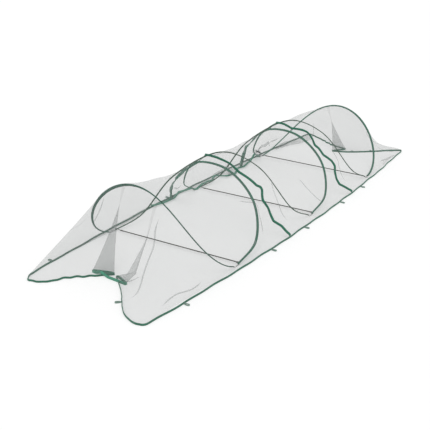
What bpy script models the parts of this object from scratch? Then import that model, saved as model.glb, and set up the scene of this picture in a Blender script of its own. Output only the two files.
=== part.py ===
"""Pop-up greenhouse tunnel: a spring-wire frame of six hoops in sewn sleeves, under five pieces of net.

Metres, +Z up. The origin lies on the ground at the middle of the tunnel. +X runs along the tunnel to its
rear end, and the near side is at -Y.
"""

import math

import bpy
import numpy as np

# Frame layout
STATION_SPACING = 0.800
FOOT_HALF_WIDTH = 0.395
END_HOOP_RISE = 0.507
FRONT_LEAN_DEG = 33.0
REAR_LEAN_DEG = 48.0
FOOT_FLARE_DEG = 42.0
LOW_CROWN_HEIGHT = 0.330
HIGH_CROWN_HEIGHT = 0.380

# Wire, sleeves and ferrule
WIRE_RADIUS = 0.0015
SLEEVE_RADIUS = 0.0040
SLEEVE_BORE_RADIUS = 0.0020
SLEEVE_END_SETBACK = 0.022
FOOT_RUN = 0.012
FERRULE_RADIUS = 0.0032
FERRULE_LENGTH = 0.020
FERRULE_BORE_RADIUS = 0.0020

# Net and its bindings
NET_THICKNESS = 0.0008
END_NET_EASE = 0.0008
HEM_THICKNESS = 0.0040
HEM_HEIGHT = 0.0100
HEM_OUTSIDE_FEET = 0.050
HEM_BOW = 0.070
TAPE_THICKNESS = 0.0020
TAPE_WIDTH = 0.0130
SEAM_RISE = 0.0020
NEAR_SEAM_X = (-0.345, 0.460)
FAR_SEAM_X = (-0.270, 0.620)

# Corners of the net on the ground, near side and far side
FRONT_NEAR_CORNER_X = -1.500
FRONT_FAR_CORNER_X = -1.430
REAR_NEAR_CORNER_X = 1.485
REAR_FAR_CORNER_X = 1.510

# Points of the front hem between its corners, from the near side to the far side: along, across.
# The hem runs in to the middle, where two pleats lie one over the other.
FRONT_HEM = (
    (-1.508, -0.330),
    (-1.471, -0.242),
    (-1.315, -0.095),
    (-1.245, -0.020),
    (-1.222, 0.010),
    (-1.203, -0.055),
    (-1.185, 0.155),
    (-1.222, 0.045),
    (-1.277, 0.134),
    (-1.344, 0.211),
    (-1.430, 0.264),
    (-1.462, 0.345),
)
REAR_HEM = (
    (1.430, -0.300),
    (1.353, -0.222),
    (1.232, -0.064),
    (1.200, 0.035),
    (1.288, -0.026),
    (1.339, 0.108),
    (1.422, 0.228),
    (1.484, 0.330),
)
FOLD_GAP = 0.0070
PLEAT_TOP_SCALE = 0.22
PLEAT_TOP_DROP = 0.012
FOLD_GATHER = 0.045
CORNER_REACH = 0.090
CORNER_HOOP_REACH = 0.400
NET_PULL = 5.0

# Cross cords: each is tied to a sleeve on the near side and hooked over one on the far side
CORD_RADIUS = 0.0018
CORD_FROM_FOOT = 0.032
KNOT_RADIUS = 0.0055
HOOK_LENGTH = 0.040
HOOK_RADIUS = 0.0016

# Peg loops: places along the near hem and the far hem, and reach along an end hem from its near corner
NEAR_LOOP_X = (-1.249, -0.530, -0.172, 0.291, 0.610)
FAR_LOOP_X = (-1.244, -0.207)
FRONT_LOOP_REACH = 0.259
REAR_LOOP_REACH = (0.228, 0.363)
LOOP_LENGTH = 0.030
LOOP_WIDTH = 0.012
LOOP_TAPE = 0.0020
LOOP_HEIGHT = 0.0060

# Clearance between pieces that touch
CLEARANCE = 0.0003

# How finely curves are divided
HOOP_STEPS = 24
HALF_HOOP = HOOP_STEPS // 2
END_ROWS = 7
END_NET_STEP = 0.075
HEM_STEPS = 30
TUBE_SIDES = 6
SEAM_COLUMNS = (HALF_HOOP, HOOP_STEPS + HALF_HOOP)
RAISE_ROUNDS = 4
FOLD_COSINE = -0.2
LEAST_COSINE = 0.4

# Shapes of the diagonal hoops as shares of the station spacing, the foot half width and the crown
# height. A low hoop runs from a near foot to the next far foot, a high hoop from a near foot back to
# the far foot before it.
LOW_SHAPE = (
    (0.262, -0.975, 0.18),
    (0.440, -0.710, 0.63),
    (0.525, -0.190, 0.98),
    (0.575, 0.415, 0.92),
    (0.722, 0.825, 0.36),
)
HIGH_SHAPE = (
    (0.180, -0.900, 0.20),
    (0.280, -0.435, 0.825),
    (0.355, 0.075, 1.0),
    (0.530, 0.637, 0.635),
    (0.757, 0.870, 0.12),
)

FOOT_HEIGHT = SLEEVE_RADIUS + CLEARANCE
HEM_MIDDLE_HALF_WIDTH = FOOT_HALF_WIDTH + HEM_OUTSIDE_FEET
NET_OVER_SLEEVE = SLEEVE_RADIUS + CLEARANCE + NET_THICKNESS / 2
END_NET_OFF_HOOP = NET_OVER_SLEEVE + END_NET_EASE
NET_FLOOR = HEM_HEIGHT + CLEARANCE + NET_THICKNESS
STATIONS = (-STATION_SPACING, 0.0, STATION_SPACING)


def unit(v):
    """Vectors scaled to length one."""
    v = np.asarray(v, float)
    return v / np.maximum(np.linalg.norm(v, axis=-1, keepdims=True), 1e-12)


def lengths_along(points):
    """Distance from the first point to each point, along the polyline."""
    steps = np.linalg.norm(np.diff(points, axis=0), axis=1)
    return np.concatenate([[0.0], np.cumsum(steps)])


def resample(points, count):
    """The polyline as count equal steps."""
    points = np.asarray(points, float)
    along = lengths_along(points)
    wanted = np.linspace(0.0, along[-1], count + 1)
    return np.stack([np.interp(wanted, along, points[:, i]) for i in range(3)], axis=1)


def smooth_curve(points, per_span=12):
    """A centripetal Catmull-Rom curve through the points."""
    points = [np.asarray(p, float) for p in points]
    first = 2 * points[0] - points[1]
    last = 2 * points[-1] - points[-2]
    padded = [first] + points + [last]
    found = []
    for p0, p1, p2, p3 in zip(padded, padded[1:], padded[2:], padded[3:]):
        t1 = np.linalg.norm(p1 - p0) ** 0.5
        t2 = t1 + np.linalg.norm(p2 - p1) ** 0.5
        t3 = t2 + np.linalg.norm(p3 - p2) ** 0.5
        for t in np.linspace(t1, t2, per_span, endpoint=False):
            a1 = (t1 - t) / t1 * p0 + t / t1 * p1
            a2 = (t2 - t) / (t2 - t1) * p1 + (t - t1) / (t2 - t1) * p2
            a3 = (t3 - t) / (t3 - t2) * p2 + (t - t2) / (t3 - t2) * p3
            b1 = (t2 - t) / t2 * a1 + t / t2 * a2
            b2 = (t3 - t) / (t3 - t1) * a2 + (t - t1) / (t3 - t1) * a3
            found.append((t2 - t) / (t2 - t1) * b1 + (t - t1) / (t2 - t1) * b2)
    found.append(points[-1])
    return np.array(found)


def material(name, colour, roughness, metallic=0.0, alpha=1.0):
    """A Principled material."""
    made = bpy.data.materials.new(name)
    made.use_nodes = True
    shader = made.node_tree.nodes["Principled BSDF"]
    shader.inputs["Base Color"].default_value = (*colour, 1.0)
    shader.inputs["Roughness"].default_value = roughness
    shader.inputs["Metallic"].default_value = metallic
    shader.inputs["Alpha"].default_value = alpha
    return made


def add_mesh(name, points, faces, look, smooth=True):
    """A mesh object with one material."""
    mesh = bpy.data.meshes.new(name)
    mesh.from_pydata([tuple(p) for p in points], [], [tuple(f) for f in faces])
    mesh.validate()
    if smooth:
        mesh.shade_smooth()
        mesh.set_sharp_from_angle(angle=math.radians(50))
    mesh.materials.append(look)
    made = bpy.data.objects.new(name, mesh)
    bpy.context.collection.objects.link(made)
    return made


def frames_along(path, closed=False):
    """Tangents and two turning-free side vectors at each point of a path."""
    path = np.asarray(path, float)
    if closed:
        tangents = unit(np.roll(path, -1, 0) - np.roll(path, 1, 0))
    else:
        tangents = unit(np.gradient(path, axis=0))
    start = np.array([0.0, 0.0, 1.0])
    if abs(tangents[0][2]) > 0.9:
        start = np.array([1.0, 0.0, 0.0])
    side = unit(np.cross(tangents[0], start))
    sides = []
    for tangent in tangents:
        side = unit(side - tangent * np.dot(side, tangent))
        sides.append(side)
    sides = np.array(sides)
    return tangents, sides, np.cross(tangents, sides)


def ring_points(path, radius, sides=TUBE_SIDES):
    """Rings of points round a path."""
    _, across, up = frames_along(path)
    turns = 2 * np.pi * (np.arange(sides) + 0.5) / sides
    rings = (
        path[:, None, :]
        + radius * np.cos(turns)[None, :, None] * across[:, None, :]
        + radius * np.sin(turns)[None, :, None] * up[:, None, :]
    )
    return rings


def rounded(rings, path):
    """Rings with two smaller ones past each end, so that the bar ends in a ball."""
    before, after = [], []
    for turn in (math.radians(35), math.radians(70)):
        for found, end, inner in ((before, 0, 1), (after, -1, -2)):
            centre = path[end]
            out = unit(centre - path[inner])
            radius = np.linalg.norm(rings[end][0] - centre)
            ring = centre + (rings[end] - centre) * math.cos(turn) + out * radius * math.sin(turn)
            found.append(ring)
    return np.concatenate([before[::-1], rings, after])


def rod(name, path, radius, look, sides=TUBE_SIDES, ball_ends=False):
    """A solid round bar along a path."""
    path = np.asarray(path, float)
    rings = ring_points(path, radius, sides)
    if ball_ends:
        rings = rounded(rings, path)
    count = len(rings)
    faces = []
    for i in range(count - 1):
        for j in range(sides):
            a, b = i * sides + j, i * sides + (j + 1) % sides
            faces.append((a, b, b + sides, a + sides))
    faces.append(tuple(range(sides))[::-1])
    faces.append(tuple((count - 1) * sides + j for j in range(sides)))
    return add_mesh(name, rings.reshape(-1, 3), faces, look)


def tube(name, path, outer, bore, look, sides=TUBE_SIDES):
    """A round tube along a path, open at both ends."""
    path = np.asarray(path, float)
    skin = ring_points(path, outer, sides)
    hole = ring_points(path, bore, sides)
    count = len(path)
    total = count * sides
    faces = []
    for i in range(count - 1):
        for j in range(sides):
            a, b = i * sides + j, i * sides + (j + 1) % sides
            faces.append((a, b, b + sides, a + sides))
            faces.append((total + a, total + a + sides, total + b + sides, total + b))
    last = (count - 1) * sides
    for j in range(sides):
        k = (j + 1) % sides
        faces.append((j, total + j, total + k, k))
        faces.append((last + j, last + k, total + last + k, total + last + j))
    points = np.concatenate([skin.reshape(-1, 3), hole.reshape(-1, 3)])
    return add_mesh(name, points, faces, look)


def ribbon(name, path, ups, half, low, high, look, closed=False):
    """A flat strip on edge along a path: half its thickness each way, from low to high along ups."""
    path = np.asarray(path, float)
    ups = unit(np.broadcast_to(ups, path.shape))
    tangents, _, _ = frames_along(path, closed)
    sides = unit(np.cross(tangents, ups))
    corners = np.stack(
        [
            path - sides * half + ups * low,
            path + sides * half + ups * low,
            path + sides * half + ups * high,
            path - sides * half + ups * high,
        ],
        axis=1,
    )
    count = len(path)
    spans = count if closed else count - 1
    faces = []
    for i in range(spans):
        for j in range(4):
            a, b = i * 4 + j, i * 4 + (j + 1) % 4
            c, d = (b + 4) % (count * 4), (a + 4) % (count * 4)
            faces.append((a, d, c, b))
    if not closed:
        faces.append((0, 1, 2, 3))
        last = (count - 1) * 4
        faces.append((last + 3, last + 2, last + 1, last))
    made = add_mesh(name, corners.reshape(-1, 3), faces, look, smooth=False)
    return made


def cell_triangles(grid, along_rise, along_fall):
    """Two triangles for each cell of a grid, split along a hoop where one crosses the cell, and along
    the shorter diagonal elsewhere."""
    rows, columns = grid.shape[:2]
    triangles = []
    for i in range(rows - 1):
        for j in range(columns - 1):
            a, b, c, d = (i, j), (i + 1, j), (i + 1, j + 1), (i, j + 1)
            rise = np.linalg.norm(grid[a] - grid[c]) <= np.linalg.norm(grid[b] - grid[d])
            rise = (rise or a in along_rise) and a not in along_fall
            triangles += [(a, b, c), (a, c, d)] if rise else [(a, b, d), (b, c, d)]
    return triangles


def face_normals(grid, triangles):
    """The unit normal of each triangle."""
    return [unit(np.cross(grid[b] - grid[a], grid[c] - grid[a])) for a, b, c in triangles]


def point_normals(grid, triangles):
    """The mean unit normal at each point of a grid."""
    total = np.zeros_like(grid)
    for corners, normal in zip(triangles, face_normals(grid, triangles)):
        for at in corners:
            total[at] += normal
    return unit(total)


def raised(grid, triangles, height):
    """The surface moved out along its points' normals, until each face near a point stands off that
    point by the height. Gives the new points and the normals."""
    normals = point_normals(grid, triangles)
    found = grid
    for _ in range(RAISE_ROUNDS):
        least = np.ones(grid.shape[:2])
        for corners, normal in zip(triangles, face_normals(found, triangles)):
            for at in corners:
                least[at] = min(least[at], float(np.dot(normals[at], normal)))
        found = grid + normals * (height / np.maximum(least, LEAST_COSINE))[..., None]
    return found, normals


def cloth(name, grid, look, along_rise=(), along_fall=()):
    """A thin closed sheet over a grid of points."""
    rows, columns = grid.shape[:2]
    triangles = cell_triangles(grid, along_rise, along_fall)
    normals = point_normals(grid, triangles)
    top = grid + normals * NET_THICKNESS / 2
    bottom = grid - normals * NET_THICKNESS / 2
    total = rows * columns
    faces = []
    for corners in triangles:
        a, b, c = [i * columns + j for i, j in corners]
        faces.append((a, b, c))
        faces.append((total + c, total + b, total + a))
    rim = [j for j in range(columns)]
    rim += [i * columns + columns - 1 for i in range(1, rows)]
    rim += [(rows - 1) * columns + j for j in range(columns - 2, -1, -1)]
    rim += [i * columns for i in range(rows - 2, 0, -1)]
    for a, b in zip(rim, rim[1:] + rim[:1]):
        faces.append((a, b, total + b, total + a))
    points = np.concatenate([top.reshape(-1, 3), bottom.reshape(-1, 3)])
    return add_mesh(name, points, faces, look)


def foot(station, side):
    """The axis of the wire where a hoop meets the ground: side -1 is near, 1 is far."""
    return np.array([STATIONS[station], side * FOOT_HALF_WIDTH, FOOT_HEIGHT])


def end_hoop(station, direction, lean_deg):
    """A half ellipse that leans outward, most at its feet, as equal steps from near to far."""
    points = []
    for turn in np.linspace(0.0, np.pi, 121):
        rise = END_HOOP_RISE * math.sin(turn)
        lean = math.radians(lean_deg + FOOT_FLARE_DEG * (1 - math.sin(turn)))
        x = STATIONS[station] + direction * rise * math.sin(lean)
        points.append((x, -FOOT_HALF_WIDTH * math.cos(turn), FOOT_HEIGHT + rise * math.cos(lean)))
    points = np.array(points)
    return resample(with_foot_runs(points, direction, direction), HOOP_STEPS)


def with_foot_runs(curve, start, end):
    """The curve with a short run along the ground at each foot, so that the hoops join smoothly."""
    first = curve[0] + np.array([start * FOOT_RUN, 0.0, 0.0])
    last = curve[-1] + np.array([end * FOOT_RUN, 0.0, 0.0])
    along = lengths_along(curve)
    keep = (along > 2 * FOOT_RUN) & (along < along[-1] - 2 * FOOT_RUN)
    return np.concatenate([[curve[0], first], curve[keep], [last, curve[-1]]])


def diagonal(start, end, shape, crown):
    """A smooth hoop from the near foot of one station to the far foot of another."""
    near, far = foot(start, -1), foot(end, 1)
    run = far[0] - near[0]
    via = [
        (near[0] + run * along, FOOT_HALF_WIDTH * across, FOOT_HEIGHT + crown * up)
        for along, across, up in shape
    ]
    heading = math.copysign(1.0, run)
    return with_foot_runs(smooth_curve([near] + via + [far]), heading, -heading)


def closest(first, second):
    """The indices where two curves pass nearest each other in plan, away from their feet."""
    inner = slice(len(first) // 4, -len(first) // 8)
    gaps = np.linalg.norm(first[inner, None, :2] - second[None, inner, :2], axis=2)
    i, j = np.unravel_index(np.argmin(gaps), gaps.shape)
    return i + inner.start, j + inner.start


def crossing_pair(bay):
    """The low and the high hoop of a bay, with the high one lifted clear where they cross."""
    low = diagonal(bay, bay + 1, LOW_SHAPE, LOW_CROWN_HEIGHT)
    high = diagonal(bay + 1, bay, HIGH_SHAPE, HIGH_CROWN_HEIGHT)
    i, j = closest(low, high)
    middle = (low[i] + high[j]) / 2
    spread = SLEEVE_RADIUS + CLEARANCE
    for curve, index, side in ((low, i, -1), (high, j, 1)):
        reach = lengths_along(curve)
        weight = np.exp(-(((reach - reach[index]) / (STATION_SPACING / 4)) ** 2))
        weight[0] = weight[-1] = 0.0
        goal = middle + np.array([0.0, 0.0, side * spread])
        curve += weight[:, None] * (goal - curve[index])
    return split(low, i), split(high, j)


def split(curve, index):
    """Equal steps up to the crossing and equal steps from it."""
    before = resample(curve[: index + 1], HALF_HOOP)
    after = resample(curve[index:], HALF_HOOP)
    return np.concatenate([before, after[1:]])


def trimmed(path, start, end):
    """The path with a length cut from each end."""
    along = lengths_along(path)
    low, high = start, along[-1] - end
    keep = path[(along > low + 1e-4) & (along < high - 1e-4)]
    ends = [np.array([np.interp(at, along, path[:, i]) for i in range(3)]) for at in (low, high)]
    return np.concatenate([[ends[0]], keep, [ends[1]]])


def hem_half_width(x):
    """How far the side hems stand from the middle."""
    return HEM_MIDDLE_HALF_WIDTH - HEM_BOW * (x / FRONT_NEAR_CORNER_X) ** 2


def side_hem(low_x, high_x, side, steps):
    """Points on the ground along one side."""
    xs = np.linspace(low_x, high_x, steps + 1)
    return np.array([(x, side * hem_half_width(x), 0.0) for x in xs])


def corner(x, side):
    """A corner of the net on the ground."""
    return (x, side * hem_half_width(x))


def end_hem(near_x, far_x, inner):
    """Points of an end hem from its near corner to its far corner."""
    plan = [corner(near_x, -1), *inner, corner(far_x, 1)]
    return np.array([(x, y, 0.0) for x, y in plan])


def bay_hem_x(seams):
    """Where the net's columns meet a side hem: spread evenly from station to seam to station."""
    marks = [STATIONS[0], seams[0], STATIONS[1], seams[1], STATIONS[2]]
    spans = [np.linspace(a, b, HALF_HOOP, endpoint=False) for a, b in zip(marks, marks[1:])]
    return np.concatenate(spans + [[STATIONS[2]]])


def outward(points):
    """Unit vectors from the tunnel's axis on the ground, square to it."""
    flat = np.array(points, float)
    flat[..., 0] = 0.0
    return unit(flat)


def hoop_edge(hoop, heading):
    """The edge of the main net where it rests on an end hoop's sleeve."""
    tangents, _, _ = frames_along(hoop)
    want = outward(hoop) + np.array([heading, 0.0, 0.0])
    square = want - tangents * np.sum(want * tangents, axis=1, keepdims=True)
    return hoop + unit(square) * NET_OVER_SLEEVE


def relaxed(grid, held, rounds=1500):
    """The grid with its free points drawn to the mean of their neighbours, as a net lies that is pulled
    harder along the tunnel than across it."""
    for _ in range(rounds):
        mean = grid.copy()
        lengthwise = grid[2:, 1:-1] + grid[:-2, 1:-1]
        crosswise = grid[1:-1, 2:] + grid[1:-1, :-2]
        mean[1:-1, 1:-1] = (lengthwise * NET_PULL + crosswise) / (2 * NET_PULL + 2)
        grid = np.where(held[..., None], grid, mean)
    return grid


def hoop_cells():
    """The cells of the main net that the low hoops cross, and those that the high hoops cross."""
    low = {(bay * HOOP_STEPS + k, k) for bay in (0, 1) for k in range(HOOP_STEPS)}
    high = {((bay + 1) * HOOP_STEPS - 1 - k, k) for bay in (0, 1) for k in range(HOOP_STEPS)}
    return low, high


def main_net(front, rear, pairs):
    """The net over both bays, as columns of points from the front hoop to the rear hoop, and the
    normals of those points."""
    columns = 2 * HOOP_STEPS + 1
    grid = np.zeros((columns, HOOP_STEPS + 1, 3))
    held = np.zeros((columns, HOOP_STEPS + 1), bool)
    across = np.linspace(0, 1, HOOP_STEPS + 1)
    near = np.array([on_side_hem(x, -1) for x in bay_hem_x(NEAR_SEAM_X)])
    far = np.array([on_side_hem(x, 1) for x in bay_hem_x(FAR_SEAM_X)])
    for i in range(columns):
        grid[i] = near[i] + (far[i] - near[i]) * across[:, None]
        grid[i, :, 2] += LOW_CROWN_HEIGHT * np.sin(np.pi * across)
    grid[0], grid[-1] = front, rear
    held[[0, -1]] = True
    for bay, (low, high) in enumerate(pairs):
        start = bay * HOOP_STEPS
        for k in range(1, HOOP_STEPS):
            grid[start + k, k] = low[k]
            grid[start + HOOP_STEPS - k, k] = high[k]
            held[start + k, k] = held[start + HOOP_STEPS - k, k] = True
    grid[:, 0], grid[:, -1] = near, far
    held[:, [0, -1]] = True
    grid = relaxed(grid, held)
    height = np.full((columns, 1), NET_OVER_SLEEVE)
    height[list(SEAM_COLUMNS)] += SEAM_RISE
    lifted, normals = raised(grid, cell_triangles(grid, *hoop_cells()), height)
    lifted[:, 0], lifted[:, -1] = near, far
    for column, hoop, heading in ((0, front, 1.0), (-1, rear, -1.0)):
        lifted[column, 1:-1] = hoop_edge(hoop, heading)[1:-1]
    return lifted, normals


def folded(hem):
    """The hem with each sharp turn back made a narrow U, and the first and the last point of its folds."""
    points, folds = [hem[0]], []
    for before, at, after in zip(hem, hem[1:], hem[2:]):
        coming, going = unit(at - before), unit(after - at)
        if np.dot(coming, going) > FOLD_COSINE:
            points.append(at)
            continue
        aside = unit(coming + going) * FOLD_GAP / 2
        folds += [len(points), len(points) + 1]
        points += [at - aside, at + aside]
    points.append(hem[-1])
    return np.array(points), (folds[0], folds[-1])


def finer(hem, pleat):
    """The end hem with its long straight runs divided, and where its pleat then lies."""
    points, marks = [hem[0]], [0]
    for a, b in zip(hem, hem[1:]):
        pieces = max(1, int(round(np.linalg.norm(b - a) / END_NET_STEP)))
        points += [a + (b - a) * k / pieces for k in range(1, pieces + 1)]
        marks.append(len(points) - 1)
    return np.array(points), (marks[pleat[0]], marks[pleat[1]])


def hoop_shares(hem, pleat, corner, gather):
    """Where each point of an end hem hangs from the hoop, as a share of the hoop's length: its corners
    hang from partway up, and the pleat is drawn together to the share that gather gives."""
    first, last = pleat
    reach = lengths_along(hem)
    start, end = (1 - gather) / 2, (1 + gather) / 2
    before = corner + (start - corner) * (reach[1 : first + 1] - reach[1]) / (reach[first] - reach[1])
    after = end + (1 - corner - end) * (reach[last:-1] - reach[last]) / (reach[-2] - reach[last])
    inside = np.linspace(start, end, last - first + 1)
    return np.concatenate([[0.0], before, inside[1:-1], after, [1.0]])


def end_net(hoop, hem, pleat, direction):
    """The net of one end: straight lines from the hoop down to the hem, one from each of their points.
    A box pleat has the same plan at its top as on the ground, but smaller, and hangs under the sleeve."""
    first, last = hem[pleat[0]], hem[pleat[1]]
    box_pleat = last[1] > first[1]
    gather = PLEAT_TOP_SCALE * (last[1] - first[1]) if box_pleat else FOLD_GATHER
    length = lengths_along(hoop)[-1]
    shares = hoop_shares(hem, pleat, CORNER_HOOP_REACH / length, gather / length)
    start, end = shares[pleat[0]], shares[pleat[1]]
    even = np.linspace(0.0, 1.0, HOOP_STEPS + 1)
    apart = np.abs(even[:, None] - shares[None, :]).min(axis=1)
    between = (even > start) & (even < end)
    every = np.sort(np.concatenate([shares, even[(apart > 0.1 / HOOP_STEPS) & ~between]]))
    axis = at_shares(hoop, even, every)
    ground = at_shares(hem, shares, every) + np.array([0.0, 0.0, NET_FLOOR])
    tangents, _, _ = frames_along(axis)
    aside = unit(np.cross(tangents, ground - axis))
    want = outward(axis) + np.array([direction, 0.0, 0.0])
    aside *= np.sign(np.sum(aside * want, axis=1, keepdims=True))
    plain = (every <= start) | (every >= end)
    aside = unit(at_shares(aside[plain], every[plain], every))
    top = axis + aside * END_NET_OFF_HOOP
    if box_pleat:
        middle = at_shares(top, every, [0.5])[0] - np.array([0.0, 0.0, PLEAT_TOP_DROP])
        centre = (first + last) / 2 + np.array([0.0, 0.0, NET_FLOOR])
        top[~plain] = middle + (ground[~plain] - centre) * PLEAT_TOP_SCALE
    corner_x = hoop[0][0] + direction * (NET_THICKNESS + CLEARANCE)
    top[0], top[-1] = on_side_hem(corner_x, -1), on_side_hem(corner_x, 1)
    grid = np.array([top + (ground - top) * share for share in np.linspace(0, 1, END_ROWS + 1)])
    for row in grid:
        row[0], row[-1] = on_side_hem(row[0][0], -1), on_side_hem(row[-1][0], 1)
    return grid


def with_corners(hem, direction):
    """The end hem with a stretch of both side hems, up to which the end net reaches back."""
    back = direction * CORNER_REACH
    near, far = on_side_hem(hem[0][0] - back, -1), on_side_hem(hem[-1][0] - back, 1)
    near[2] = far[2] = 0.0
    return np.concatenate([[near], hem, [far]])


def at_shares(points, shares, wanted):
    """Points read from a polyline whose own points lie at the shares."""
    return np.stack([np.interp(wanted, shares, points[:, i]) for i in range(3)], axis=1)


def on_side_hem(x, side):
    """Where the net meets a side hem."""
    return np.array([x, side * hem_half_width(x), NET_FLOOR])


def beside_seam(grid, normals, column, side):
    """One column of the net moved off its seam by half the tape."""
    tangents, _, _ = frames_along(grid[column])
    away = unit(np.cross(tangents, normals[column])) * side
    return grid[column] + away * (TAPE_THICKNESS / 2 + CLEARANCE)


def add_nets(front, rear, pairs, look):
    """The three pieces of net over the bays. Gives the main net's points and normals."""
    grid, normals = main_net(front, rear, pairs)
    low, high = hoop_cells()
    for name, first, last in (
        ("net_front_bay", 0, SEAM_COLUMNS[0]),
        ("net_middle", SEAM_COLUMNS[0], SEAM_COLUMNS[1]),
        ("net_rear_bay", SEAM_COLUMNS[1], 2 * HOOP_STEPS),
    ):
        strip = grid[first : last + 1].copy()
        if first in SEAM_COLUMNS:
            strip[0] = beside_seam(grid, normals, first, 1)
        if last in SEAM_COLUMNS:
            strip[-1] = beside_seam(grid, normals, last, -1)
        rises = {(i - first, j) for i, j in low}
        falls = {(i - first, j) for i, j in high}
        cloth(name, strip, look, rises, falls)
    return grid, normals


def add_tapes(grid, normals, look):
    """Seam tapes that stand on the net between its pieces."""
    for name, column in zip(("seam_tape_front", "seam_tape_rear"), SEAM_COLUMNS):
        ups = normals[column]
        ribbon(name, grid[column], ups, TAPE_THICKNESS / 2, -NET_THICKNESS / 2, TAPE_WIDTH, look)


def add_end_nets(front, rear, look):
    """The two closed ends."""
    for name, hoop, plan, direction in (
        ("net_front_end", front, front_hem(), -1.0),
        ("net_rear_end", rear, rear_hem(), 1.0),
    ):
        hem, (first, last) = finer(*folded(plan))
        hem = with_corners(hem, direction)
        cloth(name, end_net(hoop, hem, (first + 1, last + 1), direction), look)


def front_hem():
    """The front hem on the ground, from the near corner to the far corner."""
    return end_hem(FRONT_NEAR_CORNER_X, FRONT_FAR_CORNER_X, FRONT_HEM)


def rear_hem():
    """The rear hem on the ground, from the near corner to the far corner."""
    return end_hem(REAR_NEAR_CORNER_X, REAR_FAR_CORNER_X, REAR_HEM)


def add_hems(look):
    """Four bindings that stand on the ground under the net's edges."""
    up = (0.0, 0.0, 1.0)
    half = HEM_THICKNESS / 2
    for name, low_x, high_x, side in (
        ("hem_near_side", FRONT_NEAR_CORNER_X, REAR_NEAR_CORNER_X, -1),
        ("hem_far_side", FRONT_FAR_CORNER_X, REAR_FAR_CORNER_X, 1),
    ):
        ribbon(name, side_hem(low_x, high_x, side, HEM_STEPS), up, half, 0.0, HEM_HEIGHT, look)
    for name, plan in (("hem_front_end", front_hem()), ("hem_rear_end", rear_hem())):
        hem, _ = folded(plan)
        path = trimmed(hem, corner_cut(hem[1] - hem[0]), corner_cut(hem[-2] - hem[-1]))
        ribbon(name, path, up, half, 0.0, HEM_HEIGHT, look)


def corner_cut(leaving):
    """How far an end hem stops before its corner, so that it clears the side hem that it meets."""
    along, across = np.abs(unit(leaving))[:2]
    half = HEM_THICKNESS / 2
    return (half + CLEARANCE + half * along) / across + half * HEM_BOW


def with_runs(hoop, start, end):
    """The divided hoop with its short run along the ground put back at each foot."""
    first = hoop[0] + np.array([start * FOOT_RUN, 0.0, 0.0])
    last = hoop[-1] + np.array([end * FOOT_RUN, 0.0, 0.0])
    return np.concatenate([hoop[:1], [first], hoop[1:-1], [last], hoop[-1:]])


def add_frame(paths, steel, green):
    """Wires, sleeves and the ferrule."""
    hinge_gap = WIRE_RADIUS + CLEARANCE
    meet = CLEARANCE / 2
    for name in ("front_hoop", "rear_hoop"):
        rod("wire_" + name, paths[name], WIRE_RADIUS, steel, ball_ends=True)
    rod("wire_low_front", trimmed(paths["low_front"], hinge_gap, meet), WIRE_RADIUS, steel)
    rod("wire_high_rear", trimmed(paths["high_rear"], hinge_gap, meet), WIRE_RADIUS, steel)
    long_path = np.concatenate([paths["low_rear"][::-1], paths["high_front"][1:]])
    rod("wire_long", trimmed(long_path, hinge_gap, hinge_gap), WIRE_RADIUS, steel)
    for name, path in paths.items():
        cut = trimmed(path, SLEEVE_END_SETBACK, SLEEVE_END_SETBACK)
        tube("sleeve_" + name, cut, SLEEVE_RADIUS, SLEEVE_BORE_RADIUS, green)
    centre = foot(1, 1)
    half = np.array([FERRULE_LENGTH / 2, 0.0, 0.0])
    tube("wire_ferrule", [centre - half, centre + half], FERRULE_RADIUS, FERRULE_BORE_RADIUS, steel)


def place_on(path, distance):
    """A point of a path at a distance from its first point, with the ways across it on the level and
    square above it."""
    along = lengths_along(path)
    at, ahead = [
        np.array([np.interp(reach, along, path[:, i]) for i in range(3)])
        for reach in (distance, distance + CORD_FROM_FOOT / 4)
    ]
    across = unit(np.cross(ahead - at, [0.0, 0.0, 1.0]))
    across = across * math.copysign(1.0, across[1])
    above = unit(np.cross(across, ahead - at))
    return at, across, above * math.copysign(1.0, above[2])


def add_cords(paths, look):
    """Three cords over the ground between the two feet of each station, each with its knot and hook."""
    off = SLEEVE_RADIUS + CLEARANCE
    for name, near_path, far_path in (
        ("front", paths["low_front"], paths["high_front"][::-1]),
        ("middle", paths["low_rear"], paths["high_rear"][::-1]),
        ("rear", paths["high_rear"], paths["low_rear"][::-1]),
    ):
        near, across, _ = place_on(near_path, CORD_FROM_FOOT)
        knot = near + across * (off + KNOT_RADIUS)
        ball("cord_knot_" + name, knot, KNOT_RADIUS, look)
        far, across, above = place_on(far_path, CORD_FROM_FOOT)
        bend = off + HOOK_RADIUS
        top = far + above * bend
        tail = top - across * HOOK_LENGTH
        corner_at = far + (above + across) * bend * math.sqrt(0.5)
        side = far + across * bend
        end = side - above * bend
        rod("cord_hook_" + name, [tail, top, corner_at, side, end], HOOK_RADIUS, look)
        way = unit(tail - knot)
        start = knot + way * (KNOT_RADIUS + CLEARANCE)
        end = tail - way * (CLEARANCE + CORD_RADIUS)
        rod("cross_cord_" + name, [start, end], CORD_RADIUS, look)


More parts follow.
